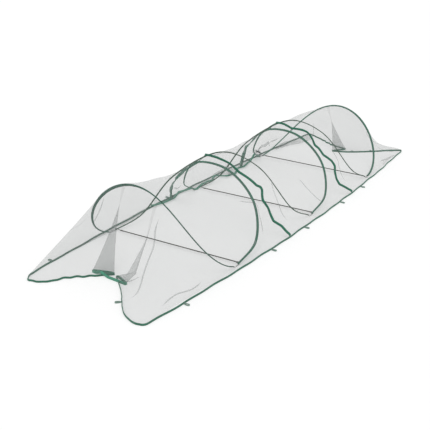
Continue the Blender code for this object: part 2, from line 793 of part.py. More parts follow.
def ball(name, centre, radius, look):
    """A small round knot."""
    turns = np.radians(np.arange(-90, 91, 30))
    path = [centre + np.array([0.0, radius * math.sin(turn), 0.0]) for turn in turns[1:-1]]
    rings = []
    for turn in turns[1:-1]:
        angles = 2 * np.pi * np.arange(8) / 8
        middle = centre + np.array([0.0, radius * math.sin(turn), 0.0])
        ring = np.stack([np.cos(angles), 0 * angles, -np.sin(angles)], axis=1)
        rings.append(middle + ring * radius * math.cos(turn))
    points = np.concatenate(rings + [[centre - [0, radius, 0]], [centre + [0, radius, 0]]])
    count = len(path)
    faces = []
    for i in range(count - 1):
        for j in range(8):
            a, b = i * 8 + j, i * 8 + (j + 1) % 8
            faces.append((a, b, b + 8, a + 8))
    low, high = count * 8, count * 8 + 1
    for j in range(8):
        k = (j + 1) % 8
        faces.append((low, k, j))
        faces.append((high, (count - 1) * 8 + j, (count - 1) * 8 + k))
    return add_mesh(name, points, faces, look)


def peg_loop(name, at, out, look):
    """A loop of tape on edge that stands off a hem, away along out."""
    out = unit(np.array([out[0], out[1], 0.0]))
    along = np.array([-out[1], out[0], 0.0])
    start = HEM_THICKNESS / 2 + CLEARANCE + LOOP_TAPE / 2
    half, radius = LOOP_WIDTH / 2, LOOP_WIDTH / 2
    path = [at + out * start - along * half, at + out * start + along * half]
    straight = LOOP_LENGTH - radius
    for turn in np.radians(np.arange(0, 181, 36)):
        reach = start + straight + radius * math.sin(turn)
        path.append(at + out * reach + along * half * math.cos(turn))
    ribbon(name, path, (0.0, 0.0, 1.0), LOOP_TAPE / 2, 0.0, LOOP_HEIGHT, look, closed=True)


def add_loops(look):
    """Loops for ground pegs, along the hems."""
    for side_name, side, places in (("near", -1, NEAR_LOOP_X), ("far", 1, FAR_LOOP_X)):
        for number, x in enumerate(places, start=1):
            at = np.array([x, side * hem_half_width(x), 0.0])
            peg_loop(f"peg_loop_{side_name}_{number}", at, (0.0, side), look)
    for name, hem, reach, direction in (
        ("peg_loop_front", front_hem(), FRONT_LOOP_REACH, -1),
        ("peg_loop_rear_1", rear_hem(), REAR_LOOP_REACH[0], 1),
        ("peg_loop_rear_2", rear_hem(), REAR_LOOP_REACH[1], 1),
    ):
        along = lengths_along(hem)
        at, ahead = at_shares(hem, along, [reach, reach + LOOP_WIDTH])
        out = np.array([ahead[1] - at[1], at[0] - ahead[0]]) * direction
        peg_loop(name, at, out, look)


def build():
    """The whole tunnel."""
    steel = material("spring_steel", (0.30, 0.31, 0.30), 0.4, 1.0)
    green = material("green_tape", (0.05, 0.24, 0.16), 0.8)
    net = material("net", (0.86, 0.87, 0.87), 0.6, alpha=0.35)
    cord = material("cord", (0.10, 0.09, 0.08), 0.8)
    front = end_hoop(0, -1, FRONT_LEAN_DEG)
    rear = end_hoop(2, 1, REAR_LEAN_DEG)
    pairs = [crossing_pair(0), crossing_pair(1)]
    paths = {
        "front_hoop": with_runs(front, -1, -1),
        "rear_hoop": with_runs(rear, 1, 1),
        "low_front": with_runs(pairs[0][0], 1, -1),
        "high_front": with_runs(pairs[0][1], -1, 1),
        "low_rear": with_runs(pairs[1][0], 1, -1),
        "high_rear": with_runs(pairs[1][1], -1, 1),
    }
    add_frame(paths, steel, green)
    add_cords(paths, cord)
    grid, normals = add_nets(front, rear, pairs, net)
    add_tapes(grid, normals, green)
    add_end_nets(front, rear, net)
    add_hems(green)
    add_loops(green)


for old in list(bpy.data.objects):
    bpy.data.objects.remove(old, do_unlink=True)
build()
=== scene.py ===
"""Looks of the pop-up greenhouse tunnel: single sheets of net, sewn sleeves, bindings, cords and loops.

Metres, +Z up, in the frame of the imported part. +X runs along the tunnel and the near side is at -Y.
"""

import math

import bmesh
import bpy
import numpy as np
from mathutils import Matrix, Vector, noise


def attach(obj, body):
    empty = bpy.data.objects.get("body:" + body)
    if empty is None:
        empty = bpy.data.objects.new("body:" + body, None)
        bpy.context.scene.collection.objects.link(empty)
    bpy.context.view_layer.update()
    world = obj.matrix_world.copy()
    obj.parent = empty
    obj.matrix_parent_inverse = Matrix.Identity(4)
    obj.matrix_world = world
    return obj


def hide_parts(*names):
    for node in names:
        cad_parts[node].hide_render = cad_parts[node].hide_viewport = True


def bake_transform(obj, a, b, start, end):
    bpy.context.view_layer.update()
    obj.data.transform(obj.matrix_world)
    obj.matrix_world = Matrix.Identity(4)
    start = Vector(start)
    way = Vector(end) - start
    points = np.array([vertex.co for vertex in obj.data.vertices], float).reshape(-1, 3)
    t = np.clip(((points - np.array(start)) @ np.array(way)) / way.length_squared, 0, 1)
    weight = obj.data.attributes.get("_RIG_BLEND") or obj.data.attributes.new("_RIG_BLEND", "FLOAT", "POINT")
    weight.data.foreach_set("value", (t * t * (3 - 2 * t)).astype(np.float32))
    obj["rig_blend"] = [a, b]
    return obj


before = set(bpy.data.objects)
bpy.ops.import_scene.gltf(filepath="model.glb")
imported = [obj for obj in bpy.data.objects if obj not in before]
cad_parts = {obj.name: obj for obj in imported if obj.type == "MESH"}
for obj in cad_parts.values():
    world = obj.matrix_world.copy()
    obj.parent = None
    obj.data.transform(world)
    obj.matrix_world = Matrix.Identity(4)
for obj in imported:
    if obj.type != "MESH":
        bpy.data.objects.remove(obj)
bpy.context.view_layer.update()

# Frame layout, as in the part's own source
STATION_SPACING = 0.800
FOOT_HALF_WIDTH = 0.395
END_HOOP_RISE = 0.507
FRONT_LEAN_DEG = 33.0
REAR_LEAN_DEG = 48.0
FOOT_FLARE_DEG = 42.0
LOW_CROWN_HEIGHT = 0.330
HIGH_CROWN_HEIGHT = 0.380
FOOT_RUN = 0.012
SLEEVE_RADIUS = 0.0040
SLEEVE_END_SETBACK = 0.022
CLEARANCE = 0.0003

# Net and bindings, as in the part's own source
NET_THICKNESS = 0.0008
HEM_THICKNESS = 0.0040
HEM_HEIGHT = 0.0100
HEM_OUTSIDE_FEET = 0.050
HEM_BOW = 0.070
TAPE_THICKNESS = 0.0020
TAPE_WIDTH = 0.0130
NEAR_SEAM_X = (-0.345, 0.460)
FAR_SEAM_X = (-0.270, 0.620)
FRONT_NEAR_CORNER_X = -1.500
FRONT_FAR_CORNER_X = -1.430
REAR_NEAR_CORNER_X = 1.485
REAR_FAR_CORNER_X = 1.510
REAR_HEM = (
    (1.43, -0.3), (1.353, -0.222), (1.232, -0.064), (1.2, 0.035), (1.288, -0.026), (1.339, 0.108),
    (1.422, 0.228), (1.484, 0.33),
)
FOLD_GAP = 0.0070
FOLD_COSINE = -0.2
CORNER_REACH = 0.090
CORNER_HOOP_REACH = 0.400
NET_PULL = 5.0
LOW_SHAPE = (
    (0.262, -0.975, 0.18), (0.44, -0.71, 0.63), (0.525, -0.19, 0.98), (0.575, 0.415, 0.92),
    (0.722, 0.825, 0.36),
)
HIGH_SHAPE = (
    (0.18, -0.9, 0.2), (0.28, -0.435, 0.825), (0.355, 0.075, 1.0), (0.53, 0.637, 0.635),
    (0.757, 0.87, 0.12),
)

# Cords and loops, as in the part's own source
CORD_RADIUS = 0.0018
CORD_FROM_FOOT = 0.032
KNOT_RADIUS = 0.0055
HOOK_LENGTH = 0.040
HOOK_RADIUS = 0.0016
NEAR_LOOP_X = (-1.249, -0.530, -0.172, 0.291, 0.610)
FAR_LOOP_X = (-1.244, -0.207)
FRONT_LOOP_REACH = 0.259
REAR_LOOP_REACH = (0.228, 0.363)
LOOP_LENGTH = 0.030
LOOP_WIDTH = 0.012
LOOP_HEIGHT = 0.0060

# The front hem on the ground, from near to far, with its folds placed as the photograph shows them.
# A pleat is shut over FOLD_SHUT each way where it hangs, and one fold crosses over another.
FRONT_HEM = (
    (-1.508, -0.33), (-1.471, -0.242), (-1.315, -0.095), (-1.245, -0.02), (-1.206, 0.02),
    (-1.244, -0.066), (-1.226, 0.153), (-1.192, 0.048), (-1.28, 0.14), (-1.344, 0.211), (-1.43, 0.264),
    (-1.462, 0.345),
)
FOLD_SHUT = 0.012
FOLD_MARGIN = 1.01
FOLD_POINTS = 4
FOLD_CROSSING = (-1.231, 0.090)
FOLD_CROSSING_LIFT = 0.0110
FOLD_CROSSING_REACH = 0.045

# Seam tapes wander over the net: share of the way across, and how far towards the rear
FRONT_SEAM_WAVES = (
    (0.0, 0.0), (0.058, -0.012), (0.1, -0.048), (0.133, -0.039), (0.158, -0.028), (0.2, -0.042),
    (0.217, -0.012), (0.228, 0.018), (0.25, -0.008), (0.292, -0.022), (0.333, -0.037), (0.367, -0.015),
    (0.408, -0.008), (0.44, 0.005), (0.5, 0.04), (0.56, 0.062), (0.62, 0.07), (0.66, 0.058),
    (0.7, 0.03), (0.74, 0.028), (0.8, 0.061), (0.867, 0.087), (0.93, 0.105), (1.0, 0.098),
)
REAR_SEAM_WAVES = (
    (0.0, 0.0), (0.04, -0.03), (0.075, -0.066), (0.108, -0.058), (0.142, -0.024), (0.158, 0.014),
    (0.183, 0.013), (0.233, -0.044), (0.267, -0.041), (0.292, -0.056), (0.308, -0.011), (0.333, 0.012),
    (0.367, -0.008), (0.4, -0.023), (0.44, 0.005), (0.49, 0.035), (0.56, 0.055), (0.64, 0.05),
    (0.72, 0.025), (0.8, 0.06), (0.9, 0.02), (1.0, 0.03),
)
SEAM_WAVE_REACH = 28.0
SEAM_SOFTNESS = 17
TAPE_FLOP_DEG = 62.0
TAPE_FLOP_TURNS = (27.0, 61.0)
TAPE_FLOP_PHASES = (0.6, 2.1)
TAPE_TAPER = 0.8
TAPE_FULLNESS = ((0.0, 1.0), (0.60, 1.0), (0.72, 1.9), (0.92, 1.9), (1.0, 1.2))

# Pleats of the end nets: where each hangs from the hoop as a share of its length, how wide it is from
# the hoop down to the ground against a straight-sided one, and how far its middle stands aside
FRONT_PLEATS = (
    (0.402, ((0.0, 0.50), (0.30, 0.36), (0.60, 0.20), (0.88, 0.15), (1.0, 1.0)), (0.010, -0.050, 0.0)),
    (0.537, ((0.0, 0.45), (0.33, 0.58), (0.50, 0.68), (0.70, 0.80), (1.0, 1.0)), (0.0, 0.0, 0.0)),
)
REAR_PLEATS = ((0.555, ((0.0, 0.30), (0.33, 0.45), (0.60, 0.70), (1.0, 1.0)), (0.0, 0.0, 0.0)),)

# The rear end's net hangs through by a share of its height, least beside its pleat. The hang is largest
# a third of the way down, where share * (1 - share) ** 2 is 1 / HANG_PEAK.
HANG_PEAK = 27 / 4
REAR_SLACK = 0.20
SLACK_FROM_PLEAT = 0.16
BOW_SHAPE = ((0.0, 0.0), (0.25, 0.30), (0.50, 0.70), (0.80, 0.95), (0.90, 1.0), (1.0, 0.0))
PLEAT_REACH = 0.085

# Tucks of each net where it folds over itself: half the width of the cloth that each takes in, then
# points as shares of the way from the sheet's first edge to its last and from the near side to the far
END_TUCKS = {
    "net_front_end": (
        (0.009, (0.03, 0.371), (0.25, 0.3585), (0.375, 0.335), (0.55, 0.322), (0.78, 0.305),
         (0.97, 0.325)),
        (0.007, (0.98, 0.373), (0.80, 0.340), (0.62, 0.313)),
        (0.007, (0.88, 0.199), (0.62, 0.143), (0.50, 0.084), (0.28, 0.084)),
        (0.006, (0.06, 0.617), (0.225, 0.614), (0.42, 0.622)),
        (0.006, (0.04, 0.765), (0.175, 0.783), (0.45, 0.710)),
    ),
    "net_rear_end": (
        (0.006, (0.10, 0.361), (0.45, 0.344), (0.85, 0.316)),
        (0.006, (0.15, 0.642), (0.50, 0.670), (0.85, 0.701)),
        (0.012, (0.05, 0.84), (0.20, 0.87), (0.42, 0.86)),
        (0.012, (0.12, 0.93), (0.35, 0.90), (0.60, 0.91)),
        (0.012, (0.30, 0.80), (0.45, 0.84), (0.70, 0.86)),
        (0.013, (0.15, 0.130), (0.45, 0.110), (0.85, 0.080)),
        (0.009, (0.10, 0.240), (0.45, 0.220), (0.80, 0.200)),
    ),
}
BAY_TUCKS = {
    "net_front_bay": (
        (0.006, (0.55, 0.05), (0.50, 0.16), (0.42, 0.28)),
        (0.020, (0.93, 0.50), (0.91, 0.60), (0.94, 0.70)),
    ),
    "net_middle": (
        (0.006, (0.12, 0.04), (0.18, 0.14), (0.30, 0.24)),
        (0.006, (0.62, 0.03), (0.55, 0.12), (0.50, 0.22)),
        (0.021, (0.05, 0.52), (0.08, 0.62), (0.05, 0.74)),
        (0.012, (0.02, 0.80), (0.12, 0.86), (0.26, 0.80)),
        (0.018, (0.56, 0.84), (0.72, 0.80), (0.86, 0.86)),
        (0.018, (0.70, 0.52), (0.86, 0.60), (0.94, 0.72)),
    ),
    "net_rear_bay": (
        (0.006, (0.20, 0.04), (0.30, 0.14), (0.45, 0.24)),
        (0.018, (0.06, 0.52), (0.10, 0.62), (0.07, 0.72)),
        (0.016, (0.45, 0.80), (0.70, 0.84), (0.95, 0.80)),
        (0.012, (0.52, 0.87), (0.75, 0.82), (0.96, 0.88)),
        (0.010, (0.70, 0.75), (0.76, 0.84), (0.72, 0.92)),
        (0.010, (0.84, 0.77), (0.82, 0.86), (0.88, 0.94)),
    ),
}
TUCK_FOLD = 1.5
TUCK_HEIGHT = 0.22
TUCK_REACH = 3.0
TUCK_TAPER = 0.22
TUCK_TILT = 1.2
TUCK_POINTS = 48
TUCK_CELLS = 2.2
TUCK_ROUNDS = 4

# How far in from the far hem the net lies on the ground: place along the tunnel, then that breadth.
# Then how it rises from there, and the doubled tape along that line.
FAR_SAG = (
    (-0.41, 0.0), (-0.31, 0.035), (-0.21, 0.034), (-0.12, 0.006), (-0.05, 0.02), (0.02, 0.067),
    (0.09, 0.067), (0.19, 0.05), (0.255, 0.012), (0.3, 0.085), (0.385, 0.098), (0.47, 0.06),
    (0.53, 0.07), (0.62, 0.046), (0.7, 0.046), (0.77, 0.012), (0.95, 0.03), (1.11, 0.04), (1.21, 0.1),
    (1.34, 0.11), (1.44, 0.04), (1.5, 0.0),
)
SAG_START = 0.010
SAG_RISE = 0.035
SAG_FLOOR = 0.0120
SLEEVE_ROOM = 0.030
PLY_FROM_X = -0.400
PLY_HALF_WIDTH = 0.0065
PLY_THICKNESS = 0.0014
PLY_UP = (0.0, -0.55, 0.83)
PLY_POINTS = 400

# How much higher than its relaxed form the net's ridge stands between the hoops, along the tunnel. Its
# place and breadth are shares of the way across, and it fades over some rows beside a hoop.
RIDGE_LIFT = (
    (-0.35, 0.0), (-0.1, 0.052), (0.1, 0.072), (0.3, 0.046), (0.5, 0.01), (0.65, 0.026), (0.8, 0.046),
    (0.95, 0.052), (1.12, 0.0),
)
RIDGE_SHARE = 0.47
RIDGE_REACH = 0.17
RIDGE_FREE = 26.0

# Gathers of the far side's net above its hem: from which share of the way across, over what share they
# grow and end, and the row of the net that sets their places
GATHER_HEIGHT = 0.004
GATHER_PITCH = 0.043
GATHER_FROM = 0.78
GATHER_GROW = 0.08
GATHER_END = 0.04
GATHER_ROW = -6

# The hems' own small waves and round corners, and the soft waves of the net between what holds it
HEM_WAVE = 0.0035
SIDE_WAVE_TURNS = (9.0, 23.0)
HEM_WAVE_PITCH = 0.062
HEM_WAVE_DRIFT = 11.0
HEM_WAVE_PHASE = 5.0
HEM_WAVE_FADE = 0.05
NEAR_WAVE_SHARE = 0.25
FAR_WAVE_SHARE = 1.6
CORNER_ROUND = 0.026
CORNER_SKEW = 0.8
SOFT_WAVE = 0.006
SOFT_WAVE_SCALE = 3.0
SOFT_WAVE_ROWS = 12.0

# Small shapes that only the looks have
SLEEVE_FULLNESS = {
    "front_hoop": ((0.0, 0.1), (0.42, 0.1), (0.58, 1.0), (0.92, 1.0), (1.0, 0.5)),
    "rear_hoop": ((0.0, 0.8), (0.35, 0.9), (0.5, 0.5), (0.75, 0.3), (1.0, 0.3)),
    "low_front": ((0.0, 0.6), (0.10, 1.0), (0.45, 1.0), (0.62, 0.6), (0.8, 0.3), (1.0, 0.3)),
    "low_rear": ((0.0, 0.5), (0.10, 0.8), (0.45, 1.0), (0.62, 0.7), (0.8, 0.4), (1.0, 0.3)),
    "high_front": ((0.0, 0.1), (0.35, 0.0), (0.6, 0.3), (0.8, 0.3), (1.0, 0.3)),
    "high_rear": ((0.0, 0.1), (0.35, 0.0), (0.6, 0.3), (0.8, 0.3), (1.0, 0.3)),
}
SLEEVE_TIGHT = 0.72
SLEEVE_FIN = 0.0075
SLEEVE_STEP = 0.003
SLEEVE_WRINKLE = 0.10
SLEEVE_WRINKLE_SCALE = 70.0
SLEEVE_SIDES = 14
HEM_SECTION = (
    (-0.8, 0.0), (0.8, 0.0), (1.0, 0.12), (0.9, 0.85),
    (0.45, 1.0), (-0.45, 1.0), (-0.9, 0.85), (-1.0, 0.12),
)
HEM_EXTRA = 0.5
HEM_EXTRA_FADE = 0.03
HEM_POINTS = 321
HOOK_EYE = 0.5
HOOK_EYE_REACH = 0.004
CORD_BRAID = 1.6
CORD_WHIPPING = 0.30
CORD_WHIPPING_LENGTH = 0.014
KNOT_STRAND = 0.0015
KNOT_TAIL = 0.010
LOOP_TAPE = 0.0012
LOOP_LOWEST = 0.0004
LOOP_PINCH = 0.35

# Darkest and lightest colour of each green tape, and of the binding's stretch in the front folds
TAPE_COLOURS = {
    "sleeve_tape": ((0.006, 0.082, 0.047), (0.022, 0.190, 0.112)),
    "dark_sleeve_tape": ((0.004, 0.050, 0.030), (0.015, 0.120, 0.074)),
    "worn_sleeve_tape": ((0.014, 0.046, 0.024), (0.040, 0.105, 0.060)),
    "binding_tape": ((0.014, 0.080, 0.048), (0.042, 0.190, 0.120)),
    "far_binding_tape": ((0.030, 0.190, 0.115), (0.080, 0.350, 0.235)),
    "loop_tape": ((0.150, 0.250, 0.200), (0.260, 0.370, 0.320)),
}
PALE_TAPE = ((0.035, 0.190, 0.115), (0.080, 0.360, 0.235))

# Each net's share of light that it stops, and its darkest and lightest colour. The net in the end nets'
# pleats stops more light, as it is gathered more densely, and its darker colour is painted shade of the
# folds.
NET_COLOURS = {
    "fine_net": (0.215, (0.18, 0.215, 0.203), (0.29, 0.305, 0.30)),
    "fold_net_painted_shade": (0.30, (0.13, 0.150, 0.142), (0.22, 0.230, 0.226)),
}
NET_THREAD = 0.0024

# The hooks' black moulded plastic, and spring wire with faint drawing marks: how fine the grain is, its
# colours, its roughness, the strength of its relief, and for the wire that it is metal
HOOK_PLASTIC = (600.0, ((0.018, 0.017, 0.016), (0.034, 0.032, 0.030)), (0.36, 0.52), 0.3)
DRAWN_STEEL = (300.0, ((0.24, 0.25, 0.24), (0.34, 0.35, 0.34)), (0.32, 0.48), 0.2, 1.0)

# The floor as the camera sees it: its own white, and its part that takes shadows. Then the lights.
FLOOR_GLOW = 0.35
FLOOR_SHADE = 0.71
FLOOR_HALF = 30.0
WORLD_LIGHT = 0.7
LAMP_SPREAD_DEG = 40
LAMP_TURN_DEG = (35, -20, -30)

# How finely the looks are divided, and how often the net's grids are relaxed
STEPS = 120
HALF = STEPS // 2
COARSE = 24
COARSE_ROUNDS = 1500
FINE_ROUNDS = 500
END_ROWS = 40
END_NET_STEP = 0.010
HOOP_POINTS = 241
SEAM_COLUMNS = (HALF, STEPS + HALF)

# Camera, fitted to the photograph
CAMERA_AZIMUTH_DEG = -56.8244
CAMERA_ELEVATION_DEG = 21.8136
CAMERA_PLACE = (-3.7370, -2.1904, 1.6512)
CAMERA_LENS_MM = 65.3

FOOT_HEIGHT = SLEEVE_RADIUS + CLEARANCE
HEM_MIDDLE_HALF_WIDTH = FOOT_HALF_WIDTH + HEM_OUTSIDE_FEET
NET_OVER_SLEEVE = SLEEVE_RADIUS + CLEARANCE + NET_THICKNESS / 2
NET_FLOOR = HEM_HEIGHT + CLEARANCE
STATIONS = (-STATION_SPACING, 0.0, STATION_SPACING)


# Vectors and curves


def unit(v):
    """Vectors scaled to length one."""
    v = np.asarray(v, float)
    return v / np.maximum(np.linalg.norm(v, axis=-1, keepdims=True), 1e-12)


def lengths_along(points):
    """Distance from the first point to each point, along the polyline."""
    steps = np.linalg.norm(np.diff(points, axis=0), axis=1)
    return np.concatenate([[0.0], np.cumsum(steps)])


def at_shares(points, shares, wanted):
    """Points read from a polyline whose own points lie at the shares."""
    points = np.asarray(points, float)
    return np.stack([np.interp(wanted, shares, points[:, i]) for i in range(points.shape[1])], axis=1)


def resample(points, count):
    """The polyline as count equal steps."""
    along = lengths_along(points)
    return at_shares(points, along, np.linspace(0.0, along[-1], count + 1))


def smooth_curve(points, per_span=24):
    """A centripetal Catmull-Rom curve through the points."""
    points = [np.asarray(p, float) for p in points]
    padded = [2 * points[0] - points[1]] + points + [2 * points[-1] - points[-2]]
    found = []
    for p0, p1, p2, p3 in zip(padded, padded[1:], padded[2:], padded[3:]):
        t1 = np.linalg.norm(p1 - p0) ** 0.5
        t2 = t1 + np.linalg.norm(p2 - p1) ** 0.5
        t3 = t2 + np.linalg.norm(p3 - p2) ** 0.5
        for t in np.linspace(t1, t2, per_span, endpoint=False):
            a1 = (t1 - t) / t1 * p0 + t / t1 * p1
            a2 = (t2 - t) / (t2 - t1) * p1 + (t - t1) / (t2 - t1) * p2
            a3 = (t3 - t) / (t3 - t2) * p2 + (t - t2) / (t3 - t2) * p3
            b1 = (t2 - t) / t2 * a1 + t / t2 * a2
            b2 = (t3 - t) / (t3 - t1) * a2 + (t - t1) / (t3 - t1) * a3
            found.append((t2 - t) / (t2 - t1) * b1 + (t - t1) / (t2 - t1) * b2)
    found.append(points[-1])
    return np.array(found)


def trimmed(path, start, end):
    """The path with a length cut from each end."""
    along = lengths_along(path)
    low, high = start, along[-1] - end
    inner = along[(along > low + 1e-4) & (along < high - 1e-4)]
    return at_shares(path, along, np.concatenate([[low], inner, [high]]))


def frames_along(path, closed=False):
    """Tangents and two turning-free side vectors at each point of a path."""
    path = np.asarray(path, float)
    if closed:
        tangents = unit(np.roll(path, -1, 0) - np.roll(path, 1, 0))
    else:
        tangents = unit(np.gradient(path, axis=0))
    start = np.array([0.0, 0.0, 1.0])
    if abs(tangents[0][2]) > 0.9:
        start = np.array([1.0, 0.0, 0.0])
    side = unit(np.cross(tangents[0], start))
    sides = []
    for tangent in tangents:
        side = unit(side - tangent * np.dot(side, tangent))
        sides.append(side)
    sides = np.array(sides)
    return tangents, sides, np.cross(tangents, sides)


def smoothstep(x):
    """A ramp from 0 to 1 with soft ends."""
    x = np.clip(x, 0.0, 1.0)
    return x * x * (3 - 2 * x)


# The hoops


def foot(station, side):
    """The axis of the wire where a hoop meets the ground: side -1 is near, 1 is far."""
    return np.array([STATIONS[station], side * FOOT_HALF_WIDTH, FOOT_HEIGHT])


def with_foot_runs(curve, start, end, inner=None):
    """The curve with a short run along the ground at each foot, so that the hoops join smoothly. All its
    points clear of the runs are kept, or only those that are named."""
    first = curve[0] + np.array([start * FOOT_RUN, 0.0, 0.0])
    last = curve[-1] + np.array([end * FOOT_RUN, 0.0, 0.0])
    if inner is None:
        along = lengths_along(curve)
        inner = (along > 2 * FOOT_RUN) & (along < along[-1] - 2 * FOOT_RUN)
    return np.concatenate([[curve[0], first], curve[inner], [last, curve[-1]]])


def end_hoop(station, direction, lean_deg):
    """A half ellipse that leans outward, most at its feet, as equal steps from near to far."""
    turn = np.linspace(0.0, np.pi, HOOP_POINTS)
    rise = END_HOOP_RISE * np.sin(turn)
    lean = np.radians(lean_deg + FOOT_FLARE_DEG * (1 - np.sin(turn)))
    x = STATIONS[station] + direction * rise * np.sin(lean)
    points = np.stack([x, -FOOT_HALF_WIDTH * np.cos(turn), FOOT_HEIGHT + rise * np.cos(lean)], axis=1)
    return resample(with_foot_runs(points, direction, direction), STEPS)


def diagonal(start, end, shape, crown):
    """A smooth hoop from the near foot of one station to the far foot of another."""
    near, far = foot(start, -1), foot(end, 1)
    run = far[0] - near[0]
    via = [
        (near[0] + run * along, FOOT_HALF_WIDTH * across, FOOT_HEIGHT + crown * up)
        for along, across, up in shape
    ]
    heading = math.copysign(1.0, run)
    return with_foot_runs(smooth_curve([near] + via + [far]), heading, -heading)


def closest(first, second):
    """The indices where two curves pass nearest each other in plan, away from their feet."""
    inner = slice(len(first) // 4, -len(first) // 8)
    gaps = np.linalg.norm(first[inner, None, :2] - second[None, inner, :2], axis=2)
    i, j = np.unravel_index(np.argmin(gaps), gaps.shape)
    return i + inner.start, j + inner.start


def split(curve, index):
    """Equal steps up to the crossing and equal steps from it."""
    before = resample(curve[: index + 1], HALF)
    after = resample(curve[index:], HALF)
    return np.concatenate([before, after[1:]])


def crossing_pair(bay):
    """The low and the high hoop of a bay, with the high one lifted clear where they cross."""
    low = diagonal(bay, bay + 1, LOW_SHAPE, LOW_CROWN_HEIGHT)
    high = diagonal(bay + 1, bay, HIGH_SHAPE, HIGH_CROWN_HEIGHT)
    i, j = closest(low, high)
    middle = (low[i] + high[j]) / 2
    spread = SLEEVE_RADIUS + CLEARANCE
    for curve, index, side in ((low, i, -1), (high, j, 1)):
        reach = lengths_along(curve)
        weight = np.exp(-(((reach - reach[index]) / (STATION_SPACING / 4)) ** 2))
        weight[0] = weight[-1] = 0.0
        goal = middle + np.array([0.0, 0.0, side * spread])
        curve += weight[:, None] * (goal - curve[index])
    return split(low, i), split(high, j)


# The hems


def hem_half_width(x):
    """How far the side hems stand from the middle."""
    slow, fast = SIDE_WAVE_TURNS
    waves = HEM_WAVE * np.sin(slow * x + 1.0) * np.sin(fast * x)
    return HEM_MIDDLE_HALF_WIDTH - HEM_BOW * (x / FRONT_NEAR_CORNER_X) ** 2 + waves


def on_side_hem(x, side, height=NET_FLOOR):
    """Where the net meets a side hem."""
    return np.array([x, side * hem_half_width(x), height])


def end_hem(near_x, far_x, inner):
    """Points of an end hem from its near corner to its far corner."""
    ends = [on_side_hem(near_x, -1, 0.0), on_side_hem(far_x, 1, 0.0)]
    return np.array([ends[0], *[(x, y, 0.0) for x, y in inner], ends[1]])


def end_hems():
    """The front and the rear hem on the ground, and which way each faces."""
    front = end_hem(FRONT_NEAR_CORNER_X, FRONT_FAR_CORNER_X, FRONT_HEM)
    rear = end_hem(REAR_NEAR_CORNER_X, REAR_FAR_CORNER_X, REAR_HEM)
    return (front, -1.0), (rear, 1.0)


def folded(hem):
    """The hem with each sharp turn back made a narrow U, and the points of its folds."""
    points, folds = [hem[0]], []
    for before, at, after in zip(hem, hem[1:], hem[2:]):
        coming, going = unit(at - before), unit(after - at)
        if np.dot(coming, going) > FOLD_COSINE:
            points.append(at)
            continue
        aside = unit(coming + going) * FOLD_GAP / 2
        folds += [len(points), len(points) + 1]
        points += [at - aside, at + aside]
    points.append(hem[-1])
    return np.array(points), folds


def rounded(before, corner, after, count=8):
    """An arc that leaves out a corner, between two points."""
    t = np.linspace(0.0, 1.0, count + 1)[:, None]
    return (1 - t) ** 2 * before + 2 * t * (1 - t) * corner + t**2 * after


def hem_line(plan, direction):
    """An end hem with a stretch of both side hems, its corners rounded, its long runs curved and its
    folds straight. Gives the points, those of the folds, and the two where the side hems leave off."""
    hem, folds = folded(plan)
    back = direction * CORNER_REACH
    ends = [on_side_hem(hem[0][0] - back, -1, 0.0), on_side_hem(hem[-1][0] - back, 1, 0.0)]
    starts, runs = [], []
    first, last = folds[0], folds[-1]
    for end, corner, beyond, inner, wave in (
        (ends[0], hem[0], hem[1], hem[1 : first + 1], NEAR_WAVE_SHARE),
        (ends[1], hem[-1], hem[-2], hem[last:-1][::-1], FAR_WAVE_SHARE),
    ):
        starts.append(corner + unit(end - corner) * CORNER_ROUND)
        arc = rounded(starts[-1], corner, corner + unit(beyond - corner) * CORNER_ROUND * CORNER_SKEW)
        runs.append(curved(np.concatenate([arc[-1:], inner]), arc, HEM_WAVE * wave))
    line = np.concatenate([ends[:1], runs[0], hem[first + 1 : last], runs[1][::-1], ends[1:]])
    marks = [int(np.argmin(np.linalg.norm(line - hem[k], axis=1))) for k in folds]
    points, places = [line[0]], [0]
    for k, (a, b) in enumerate(zip(line, line[1:])):
        pieces = 1
        if marks[0] <= k < marks[-1]:
            pieces = max(1, int(round(np.linalg.norm(b - a) / END_NET_STEP)))
        points += [a + (b - a) * i / pieces for i in range(1, pieces + 1)]
        places.append(len(points) - 1)
    points = np.array(points)
    leave = [int(np.argmin(np.linalg.norm(points - start, axis=1))) for start in starts]
    folds = [places[k] for k in marks]
    if direction < 0:
        run = slice(folds[3] + 1, folds[4])
        gaps = np.linalg.norm(points[run, :2] - np.array(FOLD_CROSSING), axis=1)
        points[run, 2] = FOLD_CROSSING_LIFT * (1 - smoothstep(gaps / FOLD_CROSSING_REACH))
    return points, folds, leave


def curved(corners, arc, height):
    """A corner's arc and the smooth run that goes on from it, in even steps and with small waves."""
    run = smooth_curve(corners)
    reach = lengths_along(run)[-1]
    run = resample(run, int(round(reach / END_NET_STEP)))
    along = lengths_along(run)
    tangents, _, _ = frames_along(run)
    aside = np.stack([-tangents[:, 1], tangents[:, 0], np.zeros(len(run))], axis=1)
    fade = smoothstep(along / HEM_WAVE_FADE) * smoothstep((reach - along) / HEM_WAVE_FADE)
    drift = np.sin(HEM_WAVE_PHASE + HEM_WAVE_DRIFT * along)
    waves = height * fade * np.sin(2 * np.pi * along / HEM_WAVE_PITCH) * drift
    return np.concatenate([arc, (run + aside * waves[:, None])[1:]])


# The nets as grids of points


def outward(points):
    """Unit vectors from the tunnel's axis on the ground, square to it."""
    flat = np.array(points, float)
    flat[..., 0] = 0.0
    return unit(flat)


def relaxed(grid, held, rounds):
    """The grid with its free points drawn to the mean of their neighbours, as a net lies that is pulled
    harder along the tunnel than across it."""
    for _ in range(rounds):
        mean = grid.copy()
        lengthwise = grid[2:, 1:-1] + grid[:-2, 1:-1]
        crosswise = grid[1:-1, 2:] + grid[1:-1, :-2]
        mean[1:-1, 1:-1] = (lengthwise * NET_PULL + crosswise) / (2 * NET_PULL + 2)
        grid = np.where(held[..., None], grid, mean)
    return grid


